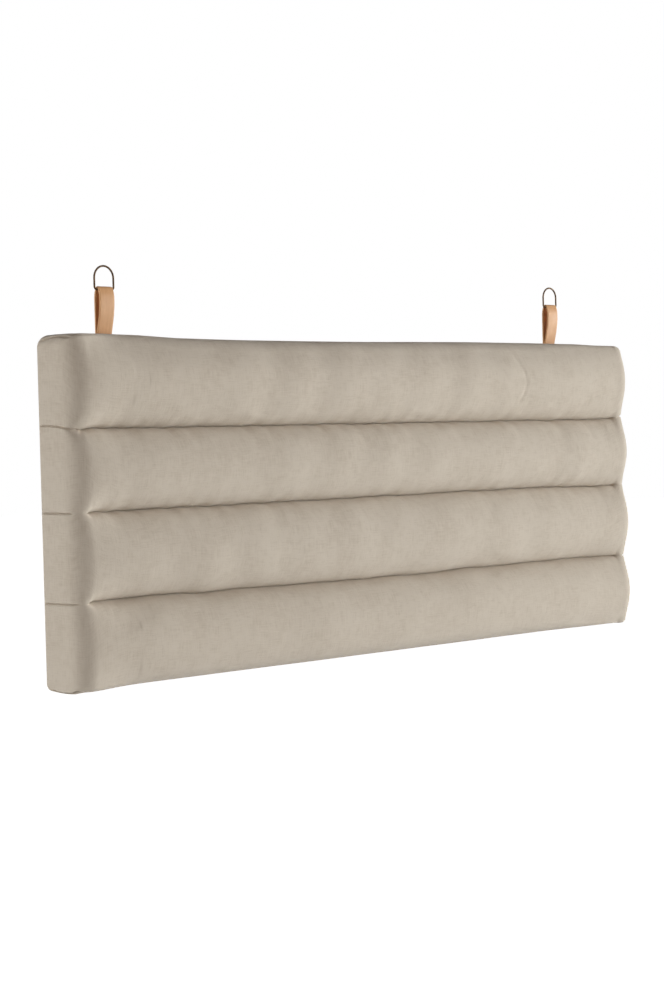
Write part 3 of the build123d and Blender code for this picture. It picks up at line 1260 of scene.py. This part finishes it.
    def band(self) -> tuple[Plan, np.ndarray, np.ndarray]:
        """Shape the skin of a channel between two creases.

        Returns:
            The outline's samples, the skin by column and row, and how firmly it is held.
        """
        plan = self.form.plan(closed=False)
        low, high = self.low.heights(plan.run), self.high.heights(plan.run)
        middle, half = (low + high)[:, None] / 2, (high - low)[:, None] / 2
        offset = self.row_shares(np.sin, -1.0)[None, :] * half
        heights = middle + offset
        to_crease = half - np.abs(offset)
        drop = self.drop(plan, offset, half)
        drop = drop - self.unevenness(plan, heights, to_crease)
        above = self.crease_drop(plan, half - offset, self.high)
        drop = drop + self.crease_drop(plan, half + offset, self.low) + above
        return plan, self.place(plan, drop, heights), self.firmness(plan, to_crease)

    def edge_roll(self, plan: Plan) -> np.ndarray:
        """Size the roll over the panel's top edge.

        Args:
            plan: The outline's samples.

        Returns:
            Its radius at each place of the outline.
        """
        form = self.form
        turned = plan.normals[:, 1]
        on_right = plan.run > 0
        growth = np.where(on_right, self.roll_growths[1], self.roll_growths[0])
        at_end = np.where(on_right, self.right_front_roll, self.left_front_roll)
        from_end = smooth_step((form.corner_start - np.abs(plan.run)) / growth)
        front = at_end + (form.middle_roll - at_end) * from_end
        towards_front = smooth_step(-turned * self.corner_ease)
        return (
            self.side_roll
            + (front - self.side_roll) * towards_front
            + (self.back_roll - self.side_roll) * smooth_step(turned)
        )

    def edge_line(self, plan: Plan) -> np.ndarray:
        """Follow the panel's upper or lower edge.

        Args:
            plan: The outline's samples.

        Returns:
            How far it stands above its box at each place, as a column.
        """
        form = self.form
        turned = plan.normals[:, 1]
        front = along_curve(plan.run, self.edge_rises)
        on_side = smooth_step(1 - np.abs(turned) * self.corner_ease)
        depth = (plan.points[:, 1] - form.front) / (form.back - form.front)
        arch = np.sin(np.clip(depth, 0.0, 1.0) * math.pi)
        front = np.where(turned > self.back_start, front * self.back_rise, front)
        return (front + self.side_arch * on_side * arch)[:, None]

    def cap(self) -> tuple[Plan, np.ndarray, np.ndarray]:
        """Shape the skin of the top channel, rolled over to a closed top.

        Returns:
            The outline's samples, the skin by column and row, and how firmly it is held.
        """
        form = self.form
        plan = form.plan(closed=True)
        low = self.low.heights(plan.run)
        top = np.full_like(low, form.half_height)
        middle, half = (low + top)[:, None] / 2, (top - low)[:, None] / 2
        roll = self.edge_roll(plan)[:, None]
        radius = self.crown(plan, half)
        edge = form.half_height + self.edge_line(plan)
        bend = (edge - roll - roll * middle / radius) / (1 - roll / radius)
        tilt = np.arcsin(np.clip((bend - middle) / radius, -1.0, 1.0))

        # The upright skin starts at the crease, and at the back at the cover's turned-in edge.
        reach = form.half_width - form.back_corner_radius - form.corner_room
        on_back = smooth_step((plan.normals[:, 1] - self.back_start) / self.back_growth)
        on_back = on_back * (np.abs(plan.points[:, 0]) < reach)
        begin = (low + (form.half_height - form.turn_in - low) * on_back)[:, None]
        rows = self.row_shares(lambda angle: 1 - np.cos(angle), 0.0)
        heights = begin + (bend - begin) * rows[None, :]
        to_crease = heights - low[:, None]
        to_rim = np.minimum(to_crease, form.half_height - heights)
        drop = self.drop(plan, heights - middle, half)
        drop = drop - self.unevenness(plan, heights, to_rim)
        above = np.clip((heights - middle) / half, 0.0, 1.0)
        drop = drop + along_curve(plan.run, self.leans)[:, None] * above**2
        drop = drop + self.crease_drop(plan, to_crease, self.low)
        held = self.firmness(plan, to_crease)

        # Then it rolls over the edge, with the folded corners in the roll.
        shares = np.array(self.roll_shares)[None, :]
        angles = tilt + (math.pi / 2 - tilt) * shares
        roll_drop = drop[:, -1:] + roll * (np.cos(tilt) - np.cos(angles))
        roll_drop = roll_drop + self.corner_dart(plan, shares)
        roll_heights = edge - roll + roll * np.sin(angles)
        freed = np.round(1.0 - smooth_step(shares * self.roll_hold), 2)
        rolled = 1.0 - (1.0 - held[:, -1:]) * freed
        drops = np.concatenate([drop, roll_drop], axis=1)
        skin = self.place(plan, drops, np.concatenate([heights, roll_heights], axis=1))
        lid = self.lid(plan, skin[:, -1, :])
        held = np.concatenate([held, rolled, np.ones(lid.shape[:2])], axis=1)
        return plan, np.concatenate([skin, lid], axis=1), held

    def lid(self, plan: Plan, rim: np.ndarray) -> np.ndarray:
        """Close the top from its rim to a spine along the middle.

        Args:
            plan: The outline's samples.
            rim: The rim's points, by column.

        Returns:
            The lid's points, by column and row.
        """
        form = self.form
        along = np.clip(plan.points[:, 0], -form.corner_start, form.corner_start)
        depth = np.full(len(rim), form.back - self.spine_depth)
        height = form.half_height + self.spine_rise * along_curve(along, self.edge_rises)
        spine = np.stack([along, depth, height], axis=1)
        shares = np.linspace(0, 1, self.cap_rows + 1)[None, 1:, None]
        lid = rim[:, None, :] * (1 - shares) + spine[:, None, :] * shares
        lid[:, :, 2] += self.dome * smooth_step(shares[:, :, 0] * self.dome_rise)
        return lid

    def inner(self, outer: np.ndarray) -> np.ndarray:
        """Lay the faces behind the filling: plywood, the frame's edges and the turned-in cover.

        Args:
            outer: The outer skin, by column and row.

        Returns:
            The point behind each of its points.
        """
        form = self.form
        inner = outer.copy()
        inner[:, :, 0] = np.clip(outer[:, :, 0], -form.inner_half_width, form.inner_half_width)
        behind = np.minimum(form.frame_back, outer[:, :, 1] - self.least_filling)
        inner[:, :, 1] = np.maximum(behind, form.board_front)
        inner[:, :, 2] = np.clip(outer[:, :, 2], -form.inner_half_height, form.inner_half_height)
        return inner

    def press_slots(self, skin: np.ndarray) -> None:
        """Press the cover down to the strap tails where they cross its back edge.

        Args:
            skin: The outer skin, by column and row, which is changed.
        """
        form = self.form
        floor = form.strap_front - self.slot_clearance
        from_strap = np.abs(np.abs(skin[:, :, 0]) - form.strap_middle)
        deep = (from_strap < form.half_slot) & (skin[:, :, 1] > floor)
        skin[:, :, 1] = np.where(deep, floor, skin[:, :, 1])

    def pattern(self, plan: Plan, skin: np.ndarray, ring: bool) -> np.ndarray:
        """Lay the skin out on the cloth's flat pattern.

        Args:
            plan: The outline's samples.
            skin: The skin, by column and row.
            ring: Whether the last column joins the first.

        Returns:
            Places on the pattern, with one column more than the skin where it closes in a ring.
        """
        rises = np.linalg.norm(np.diff(skin, axis=1), axis=2)
        upward = np.concatenate([np.zeros((len(skin), 1)), np.cumsum(rises, axis=1)], axis=1)
        along = np.repeat(plan.run[:, None], skin.shape[1], axis=1)
        flat = np.stack([along, upward + self.number], axis=2)
        if ring:
            closing = flat[:1].copy()
            closing[:, :, 0] = along[-1:] + np.linalg.norm(plan.points[0] - plan.points[-1])
            flat = np.concatenate([flat, closing], axis=0)
        return flat

    def turned_over(self) -> "ChannelCover":
        """Turn the bottom channel over, so that its closed edge is on top.

        Returns:
            The cover upside down, with the bottom edge's own rolls and line.
        """
        return replace(
            self,
            low=self.high.turned_over(),
            high=None,
            right_front_roll=0.010,
            side_roll=0.009,
            back_roll=0.012,
            dome=0.002,
            side_arch=0.0035,
            edge_rises=((-0.76, 0.001), (-0.6, 0.0008), (0.0, 0.0008), (0.8, 0.0)),
        )

    def build(self, linen: Material) -> Piece:
        """Args:
            linen: The cover's material.

        Returns:
            The finished piece.
        """
        at_end = self.low is None or self.high is None
        if not at_end:
            plan, skin, held = self.band()
        elif self.high is None:
            plan, skin, held = self.cap()
        else:
            plan, skin, held = self.turned_over().cap()
            skin[:, :, 2] *= -1
        skin = skin + Settling().creases(skin, held, at_end)
        if self.high is None:
            self.press_slots(skin)
        name = f"cushioned_channel_{self.number}"
        flat = self.pattern(plan, skin, at_end)
        piece = Mesher.closed_form(name, skin, self.inner(skin), flat, at_end)
        Mesher.clean(piece)
        activate(piece)
        bpy.ops.object.shade_smooth_by_angle(angle=math.radians(self.smooth_below))
        dress(piece, "cover_fabric", linen)
        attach(piece, "headboard")
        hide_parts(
            f"cover_channel_{self.number}",
            f"foam_channel_{self.number}",
            EDGE_PADDING[self.number - 1],
        )
        LOG.info("%s: %d faces", name, len(piece.data.polygons))
        return piece


@dataclass
class Upholstery:
    """The four channels and the crease lines between them.

    Curves give values at places along the front: how far each crease lies above its level, how
    far the top edge stands above the panel's box, and how far the top channel leans in below it.
    The fold in the top channel is given by height and place.
    """

    form: PanelForm
    upper: Curve = (
        (-0.83, -0.0023), (-0.80, -0.0043), (-0.784, -0.0066), (-0.765, -0.0106),
        (-0.75, -0.0120), (-0.735, -0.0115), (-0.71, -0.0097), (-0.68, -0.0091),
        (-0.30, -0.0095), (0.42, -0.0095), (0.70, -0.0100), (0.765, -0.0040), (0.80, -0.0025),
    )
    centre: Curve = (
        (-0.80, 0.0), (-0.765, -0.0005), (-0.735, -0.0012), (-0.68, -0.0006), (-0.30, -0.0008),
        (0.05, 0.0), (0.42, 0.0008), (0.70, -0.0028), (0.765, 0.0), (0.80, 0.0),
    )
    lower: Curve = (
        (-0.80, -0.0030), (-0.765, -0.0025), (-0.735, -0.0018), (-0.68, -0.0012),
        (-0.30, -0.0045), (0.05, -0.0072), (0.42, -0.0046), (0.70, -0.0042), (0.765, -0.005),
        (0.80, -0.004),
    )
    top_edge: Curve = (
        (-0.76, 0.0), (-0.70, 0.0010), (-0.665, 0.0019), (-0.58, 0.0012), (-0.48, -0.0034),
        (-0.30, -0.0056), (-0.15, -0.0049), (0.0, -0.0036), (0.15, -0.0013), (0.30, 0.0006),
        (0.50, 0.0012), (0.62, 0.0006), (0.68, -0.0018), (0.76, -0.0028),
    )
    leans: Curve = (
        (-0.78, 0.0), (-0.68, 0.012), (-0.55, 0.016), (0.30, 0.016), (0.60, 0.010), (0.74, 0.0)
    )
    fold_line: Curve = (
        (0.165, 0.392), (0.198, 0.409), (0.222, 0.416), (0.243, 0.411), (0.268, 0.396),
        (0.292, 0.382),
    )

    def creases(self) -> list[CreaseLine]:
        """Lay the three creases at the levels they really run.

        Returns:
            The creases, from the top down.
        """
        return [
            CreaseLine(self.form.pitch, self.upper, seed=11, left_start=0.0, seam_end=0.034),
            CreaseLine(0.0, self.centre, seed=12, left_start=0.034, seam_end=0.020),
            CreaseLine(-self.form.pitch, self.lower, seed=13, left_start=0.032, seam_end=0.028),
        ]

    def build(self, linen: Material) -> None:
        """Build the channels from the top down.

        Args:
            linen: The covers' material.
        """
        lines = [None, *self.creases(), None]
        top_forms = {
            "edge_rises": self.top_edge, "leans": self.leans, "fold_line": self.fold_line
        }
        for number in range(1, 5):
            forms = top_forms if number == 1 else {}
            cover = ChannelCover(self.form, number, lines[number], lines[number - 1], **forms)
            cover.build(linen)


@dataclass
class BackCloth:
    """The lining stapled over the back of the frame."""

    form: PanelForm
    step: float = 0.008
    thickness: float = 0.0004
    sag: float = 0.0012
    even_sag: float = 0.6
    rail_cover: float = 0.07
    sag_growth: float = 0.05
    sag_seed: int = 71
    sag_waves: tuple[float, float] = (0.16, 0.7)
    from_back: float = 0.0002

    def build(self, lining: Material) -> Piece:
        """Build the lining with its slots for the strap tails.

        Args:
            lining: Its material.

        Returns:
            The finished sheet.
        """
        low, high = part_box("back_cloth")
        half_slot = self.form.half_slot
        slot_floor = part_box("right_strap_tail")[0].z - self.form.slot_ease
        across = self.steps(low.x, high.x, self.form.slot_edges())
        upward = self.steps(low.z, high.z, [slot_floor])
        grid = np.stack(np.meshgrid(across, upward, indexing="ij"), axis=2)
        from_end = high.x - self.rail_cover - np.abs(grid[:, :, 0])
        from_rail = high.z - self.rail_cover - np.abs(grid[:, :, 1])
        free = smooth_step(from_rail / self.sag_growth) * smooth_step(from_end / self.sag_growth)
        hollow = Ripples(self.sag_seed, *self.sag_waves)(grid[:, :, 0], grid[:, :, 1])
        sag = self.sag * free * (self.even_sag + (1 - self.even_sag) * hollow)
        depth = high.y - self.from_back - sag
        mesh = bpy.data.meshes.new("back_lining")
        points = np.stack([grid[:, :, 0], depth, grid[:, :, 1]], axis=2).reshape(-1, 3)
        rows = len(upward)
        faces = []
        for column in range(len(across) - 1):
            for row in range(rows - 1):
                x = (across[column] + across[column + 1]) / 2
                z = (upward[row] + upward[row + 1]) / 2
                in_slot = abs(abs(x) - self.form.strap_middle) < half_slot
                if in_slot and z > slot_floor:
                    continue
                here = column * rows + row
                faces.append((here, here + 1, here + rows + 1, here + rows))
        mesh.from_pydata(points.tolist(), [], faces)
        layer = mesh.uv_layers.new(name=PATTERN)
        for loop in mesh.loops:
            point = mesh.vertices[loop.vertex_index].co
            layer.data[loop.index].uv = (point.x, point.z)
        piece = bpy.data.objects.new("back_lining", mesh)
        bpy.context.scene.collection.objects.link(piece)
        form = bmesh.new()
        form.from_mesh(mesh)
        loose = [vertex for vertex in form.verts if not vertex.link_faces]
        bmesh.ops.delete(form, geom=loose, context="VERTS")
        form.to_mesh(mesh)
        form.free()
        activate(piece)
        solid = piece.modifiers.new("thickness", "SOLIDIFY")
        solid.thickness = self.thickness
        solid.offset = -1.0
        bpy.ops.object.modifier_apply(modifier=solid.name)
        bpy.ops.object.shade_smooth()
        dress(piece, "lining", lining)
        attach(piece, "headboard")
        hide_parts("back_cloth")
        LOG.info("back_lining: %d faces", len(piece.data.polygons))
        return piece

    def steps(self, start: float, end: float, kept: list[float]) -> np.ndarray:
        """Step evenly between two places, and also hit the kept places.

        Args:
            start: The first place.
            end: The last place.
            kept: Places that the steps must hit where they lie between.

        Returns:
            All the places, in order.
        """
        stops = sorted([start, *[place for place in kept if start < place < end], end])
        runs = [
            np.linspace(near, far, max(2, round((far - near) / self.step) + 1))[:-1]
            for near, far in zip(stops, stops[1:])
        ]
        return np.concatenate([*runs, [end]])


class Side(Enum):
    """The two straps and rings, with their direction along X."""

    LEFT = -1
    RIGHT = 1

    @property
    def word(self) -> str:
        """The side's name in the names of its pieces."""
        return self.name.lower()


def joint_place(name: str) -> Place:
    """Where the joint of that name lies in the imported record."""
    return next(joint["pos_m"] for joint in frame["joints"] if joint["name"] == name)


@dataclass
class LeatherStrap:
    """A leather band, doubled over its ring and screwed to the back of the frame."""

    side: Side
    blank_step: float = 0.0022
    edge_radius: float = 0.0006
    end_radius: float = 0.006
    columns: int = 8
    belly: float = 0.018
    lean: float = 0.35
    bow: Triple = (0.1, 0.2, 0.45)
    front_steps: tuple[int, int] = (38, 34)
    back_steps: int = 72
    touch_steps: int = 12
    bar_steps: int = 15
    glue_line: float = 0.0001
    smooth_below: float = 40.0
    bend_zone: tuple[float, float] = (-0.004, 0.006)

    @property
    def tail(self) -> tuple[Vector, Vector]:
        """The lowest and highest corners of the strap's flat tail."""
        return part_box(f"{self.side.word}_strap_tail")

    @property
    def leather(self) -> float:
        """Thickness of one layer of the leather."""
        return (self.tail[1].y - self.tail[0].y) / 2

    def path(self) -> tuple[np.ndarray, np.ndarray]:
        """The band's centre line, up the front layer, round the ring's bar and down the back.

        Returns:
            Points as (Y, Z), and the directions out of the fold.
        """
        tail_low, tail_high = self.tail
        loop_low, loop_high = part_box(f"{self.side.word}_strap_loop")
        leather = self.leather
        front_layer = tail_low.y + leather / 2
        back_layer = tail_high.y - leather / 2
        bend = joint_place(f"{self.side.word}_strap_bend")[2]
        _, bar_y, bar_z = joint_place(f"{self.side.word}_ring_swing")
        hug = loop_high.z - leather / 2 - bar_z
        leg = loop_low.y + leather / 2
        widest = bar_z - self.belly
        rise = widest - bend
        side, top = math.cos(self.lean) * hug, math.sin(self.lean) * hug
        back_y, back_z = math.sin(self.lean) * self.belly / 3, math.cos(self.lean) * self.belly / 3
        front_touch = (bar_y - side, bar_z + top)
        back_touch = (bar_y + side, bar_z + top)
        out, low_rise, high_rise = self.bow
        pieces = [
            np.array([(front_layer, tail_low.z)]),
            bezier((front_layer, tail_low.z), (front_layer, bend), self.front_steps[0]),
            bezier(
                (front_layer, bend),
                (front_layer + (leg - front_layer) * out, bend + rise * low_rise),
                (leg, widest - rise * high_rise),
                (leg, widest),
                self.front_steps[1],
            ),
            bezier(
                (leg, widest),
                (leg, widest + self.belly / 2),
                (front_touch[0] - back_y, front_touch[1] - back_z),
                front_touch,
                self.touch_steps,
            ),
            np.array([
                (bar_y - math.cos(angle) * hug, bar_z + math.sin(angle) * hug)
                for angle in np.linspace(self.lean, math.pi - self.lean, self.bar_steps)[1:]
            ]),
            bezier(
                back_touch,
                (back_touch[0] + back_y, back_touch[1] - back_z),
                (back_layer, widest + self.belly / 2),
                (back_layer, widest),
                self.touch_steps,
            ),
            bezier((back_layer, widest), (back_layer, tail_low.z), self.back_steps),
        ]
        points = np.concatenate(pieces)
        travel = np.gradient(points, axis=0)
        travel /= np.linalg.norm(travel, axis=1, keepdims=True)
        return points, np.stack([-travel[:, 1], travel[:, 0]], axis=1)

    def blank(self, length: float) -> Piece:
        """Cut the flat strap, with rounded ends and softened edges, in the XY plane.

        Args:
            length: Its length along Y, from 0.

        Returns:
            The flat strap, lying on Z 0.
        """
        width = self.tail[1].x - self.tail[0].x
        bpy.ops.object.select_all(action="DESELECT")
        bpy.ops.mesh.primitive_grid_add(
            x_subdivisions=self.columns,
            y_subdivisions=round(length / self.blank_step),
            size=1.0,
            location=(0.0, 0.0, 0.0),
        )
        piece = bpy.context.active_object
        piece.name = f"{self.side.word}_leather_strap"
        bpy.ops.object.mode_set(mode="EDIT")
        bpy.ops.mesh.select_all(action="SELECT")
        bpy.ops.transform.resize(value=(width, length, 1.0))
        bpy.ops.transform.translate(value=(0.0, length / 2, 0.0))
        bpy.ops.object.mode_set(mode="OBJECT")
        bpy.ops.object.transform_apply(location=True, rotation=True, scale=True)
        for vertex in piece.data.vertices:
            from_end = max(0.0, min(vertex.co.y, length - vertex.co.y))
            if from_end < self.end_radius:
                short = self.end_radius - from_end
                cut = self.end_radius - math.sqrt(self.end_radius**2 - short**2)
                vertex.co.x *= 1 - 2 * cut / width
        solid = piece.modifiers.new("thickness", "SOLIDIFY")
        solid.thickness = self.leather - self.glue_line
        solid.offset = 0.0
        bevel = piece.modifiers.new("edges", "BEVEL")
        bevel.width = self.edge_radius
        bevel.segments = 2
        bevel.limit_method = "ANGLE"
        for name in (solid.name, bevel.name):
            bpy.ops.object.modifier_apply(modifier=name)
        return piece

    def build(self, wardrobe: Wardrobe) -> Piece:
        """Cut the strap and lay it along its path.

        Args:
            wardrobe: The finishes.

        Returns:
            The finished strap.
        """
        points, outwards = self.path()
        lengths = np.linalg.norm(np.diff(points, axis=0), axis=1)
        travel = np.concatenate([[0.0], np.cumsum(lengths)])
        piece = self.blank(travel[-1])
        mesh = piece.data
        layer = mesh.uv_layers.active or mesh.uv_layers.new(name=PATTERN)
        layer.name = PATTERN
        for loop in mesh.loops:
            place = mesh.vertices[loop.vertex_index].co
            layer.data[loop.index].uv = (place.x + self.side.value, place.y)
        # Upward faces keep the hair side, downward faces take the flesh side with its painted
        # shade, and upright faces take the cut edge.
        for face in mesh.polygons:
            if abs(face.normal.z) < 0.5:
                face.material_index = 2
            elif face.normal.z < 0:
                face.material_index = 1
        middle = (self.tail[0].x + self.tail[1].x) / 2
        for vertex in mesh.vertices:
            at = vertex.co.y
            y, z = (np.interp(at, travel, points[:, axis]) for axis in (0, 1))
            out_y, out_z = (np.interp(at, travel, outwards[:, axis]) for axis in (0, 1))
            lift = vertex.co.z
            vertex.co = (middle + vertex.co.x, y + out_y * lift, z + out_z * lift)
        Mesher.clean(piece)
        activate(piece)
        bpy.ops.object.shade_smooth_by_angle(angle=math.radians(self.smooth_below))
        dress(piece, "leather", wardrobe.hair_side, wardrobe.flesh_side, wardrobe.cut_edge)
        bend = joint_place(f"{self.side.word}_strap_bend")
        f"{self.side.word}_strap"
        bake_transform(piece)
        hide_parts(f"{self.side.word}_strap_tail", f"{self.side.word}_strap_loop")
        LOG.info("%s: %d faces", piece.name, len(mesh.polygons))
        return piece


@dataclass
class WireRing:
    """A D-ring bent from round wire, its straight bar in the strap's fold."""

    side: Side
    wire: float = 0.0035
    corner_radius: float = 0.005
    sides: int = 20
    corner_steps: int = 8
    crown_steps: int = 36

    def build(self, bronze: Material) -> Piece:
        """Bend the ring from a circle of wire by extrusions and spins.

        Args:
            bronze: Its material.

        Returns:
            The finished ring.
        """
        low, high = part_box(f"{self.side.word}_ring")
        middle = (low.x + high.x) / 2
        depth = (low.y + high.y) / 2
        bar = low.z + self.wire / 2
        half = (high.x - low.x - self.wire) / 2
        crown = high.z - self.wire / 2
        flat = half - self.corner_radius
        bpy.ops.object.select_all(action="DESELECT")
        bpy.ops.mesh.primitive_circle_add(
            vertices=self.sides,
            radius=self.wire / 2,
            location=(middle, depth, bar),
            rotation=(0.0, math.pi / 2, 0.0),
        )
        piece = bpy.context.active_object
        piece.name = f"{self.side.word}_wire_ring"
        bpy.ops.object.transform_apply(location=True, rotation=True, scale=True)
        bpy.ops.object.mode_set(mode="EDIT")
        bpy.ops.mesh.select_all(action="SELECT")
        quarter, corner = math.pi / 2, bar + self.corner_radius
        upright = crown - half - bar - self.corner_radius
        self.push((flat, 0.0, 0.0))
        self.spin((middle + flat, depth, corner), quarter, self.corner_steps)
        self.push((0.0, 0.0, upright))
        self.spin((middle, depth, crown - half), math.pi, self.crown_steps)
        self.push((0.0, 0.0, -upright))
        self.spin((middle - flat, depth, corner), quarter, self.corner_steps)
        self.push((flat, 0.0, 0.0))
        bpy.ops.object.mode_set(mode="OBJECT")
        Mesher.clean(piece)
        activate(piece)
        bpy.ops.object.shade_smooth()
        dress(piece, "bronze", bronze)
        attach(piece, f"{self.side.word}_ring")
        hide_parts(f"{self.side.word}_ring")
        LOG.info("%s: %d faces", piece.name, len(piece.data.polygons))
        return piece

    @staticmethod
    def push(value: Triple) -> None:
        """Extrude the wire's open end in a straight line."""
        bpy.ops.mesh.extrude_region_move(TRANSFORM_OT_translate={"value": value})

    @staticmethod
    def spin(centre: Place, angle: float, steps: int) -> None:
        """Bend the wire's open end round a centre, in the ring's plane."""
        bpy.ops.mesh.spin(steps=steps, angle=angle, center=centre, axis=(0.0, 1.0, 0.0))


@dataclass
class Hardware:
    """The pieces that stay as the frame has them: timber, plywood, screws and staples."""

    wardrobe: Wardrobe

    def dress_all(self) -> None:
        """Give every node that stays its own finish."""
        finishes = {
            "rail": (self.wardrobe.timber, "timber"),
            "stile": (self.wardrobe.timber, "timber"),
            "block": (self.wardrobe.timber, "timber"),
            "board": (self.wardrobe.plywood, "plywood"),
            "screws": (self.wardrobe.zinc, "steel"),
            "staples": (self.wardrobe.zinc, "steel"),
            "washers": (self.wardrobe.bronze, "bronze"),
        }
        for name, node in frame["nodes"].items():
            if node.hide_render:
                continue
            material, slot = finishes[name.split("_")[-1]]
            dress(node, slot, material)


@dataclass(frozen=True)
class Lamp:
    """One square area lamp.

    Attributes:
        name: Its name.
        place: Where it hangs.
        aim: The point that it faces.
        size: Length of its sides.
        power: Its power in watts.
        colour: The colour of its light.
    """

    name: str
    place: Place
    aim: Place
    size: float
    power: float
    colour: Rgb = (0.955, 1.0, 1.013)

    def hang(self) -> None:
        """Hang the lamp and turn it to its aim."""
        data = bpy.data.lights.new(self.name, "AREA")
        data.shape = "SQUARE"
        data.size = self.size
        data.color = self.colour
        data.energy = self.power
        lamp = bpy.data.objects.new(self.name, data)
        lamp.location = self.place
        towards = Vector(self.aim) - Vector(self.place)
        lamp.rotation_euler = towards.to_track_quat("-Z", "Y").to_euler()
        bpy.context.scene.collection.objects.link(lamp)


@dataclass
class Studio:
    """The camera at the photograph's place, plain soft light and a white room."""

    camera_place: Place = (-2.902636, -2.910788, 0.117990)
    yaw: float = 44.37916
    pitch: float = -1.72930
    roll: float = -1.44761
    focal_pixels: float = 2078.512
    image_height: float = 1000.0
    sensor: float = 36.0
    lamps: tuple[Lamp, ...] = (
        Lamp("right_lamp", (7.6, -6.0, -0.15), (0.0, -0.05, -0.05), 3.6, 978.0),
        Lamp("left_lamp", (-3.4, 0.4, -0.1), (-0.76, -0.05, 0.0), 1.8, 38.5),
        Lamp("back_lamp", (1.6, 5.0, 0.9), (0.1, 0.0, -0.1), 2.6, 100.0),
    )
    floor_level: float = -1.25
    floor_size: float = 60.0
    floor_glow: float = 0.95
    room_colour: Rgb = (1.0, 0.83, 0.72)
    room_heights: tuple[float, float] = (-0.6, 0.6)
    room_strengths: tuple[float, float] = (0.62, 0.10)

    def build(self) -> None:
        """Set up the camera, the lamps, the floor and the world."""
        self.place_camera()
        for lamp in self.lamps:
            lamp.hang()
        self.lay_floor()
        self.light_world()
        bpy.context.scene.view_settings.view_transform = "Standard"

    def place_camera(self) -> None:
        """Place the camera as the photograph was taken."""
        yaw, pitch, roll = (math.radians(a) for a in (self.yaw, self.pitch, self.roll))
        forward = Vector((
            math.sin(yaw) * math.cos(pitch), math.cos(yaw) * math.cos(pitch), math.sin(pitch)
        ))
        right = Vector((math.cos(yaw), -math.sin(yaw), 0.0))
        up = right.cross(forward)
        across = right * math.cos(roll) + up * math.sin(roll)
        upright = up * math.cos(roll) - right * math.sin(roll)
        data = bpy.data.cameras.new("camera")
        data.sensor_width = self.sensor
        data.lens = self.focal_pixels * self.sensor / self.image_height
        data.clip_end = 50.0
        camera = bpy.data.objects.new("camera", data)
        turn = Matrix((across, upright, -forward)).transposed().to_4x4()
        camera.matrix_world = Matrix.Translation(self.camera_place) @ turn
        bpy.context.scene.collection.objects.link(camera)
        bpy.context.scene.camera = camera

    def lay_floor(self) -> None:
        """Lay a white floor that keeps its shadow."""
        bpy.ops.object.select_all(action="DESELECT")
        place = (0.0, 0.0, self.floor_level)
        bpy.ops.mesh.primitive_plane_add(size=self.floor_size, location=place)
        floor = bpy.context.active_object
        floor.name = "floor"
        recipe = Recipe("white_floor")
        grain = recipe.noise(recipe.position(), 3.0)
        recipe.finish({
            "Base Color": recipe.mix(grain, (0.94, 0.94, 0.94), (0.96, 0.96, 0.96)),
            "Roughness": 0.9,
            "Specular IOR Level": 0.0,
            "Emission Color": (1.0, 1.0, 1.0, 1.0),
            "Emission Strength": recipe.math("MULTIPLY", recipe.seen_directly(), self.floor_glow),
        })
        floor.data.materials.append(recipe.material)

    def light_world(self) -> None:
        """Fill the room with light that is stronger from below, and show it as white."""
        world = bpy.data.worlds.new("white_room")
        bpy.context.scene.world = world
        world.use_nodes = True
        room = Wiring(world.node_tree)
        room.tree.nodes.clear()
        direction = room.add("ShaderNodeTexCoord", {}).outputs["Generated"]
        height = room.add("ShaderNodeSeparateXYZ", {0: direction}).outputs["Z"]
        strength = room.spread(height, *self.room_heights, *self.room_strengths)
        colour = (*self.room_colour, 1.0)
        light = room.add("ShaderNodeBackground", {"Color": colour, "Strength": strength})
        white = room.add("ShaderNodeBackground", {"Color": (1.0, 1.0, 1.0, 1.0), "Strength": 1.0})
        shades = {0: room.seen_directly(), 1: light.outputs[0], 2: white.outputs[0]}
        mixed = room.add("ShaderNodeMixShader", shades)
        room.add("ShaderNodeOutputWorld", {0: mixed.outputs[0]})


def main() -> None:
    """Build the headboard's looks round its frame."""
    logging.basicConfig(level=logging.INFO, format="%(name)s: %(message)s")
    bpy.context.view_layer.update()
    wardrobe = Wardrobe.make()
    form = PanelForm.from_frame()
    Upholstery(form).build(wardrobe.linen)
    BackCloth(form).build(wardrobe.lining)
    for side in Side:
        LeatherStrap(side).build(wardrobe)
        WireRing(side).build(wardrobe.bronze)
    Hardware(wardrobe).dress_all()
    Studio().build()


if __name__ == "__main__":
    main()
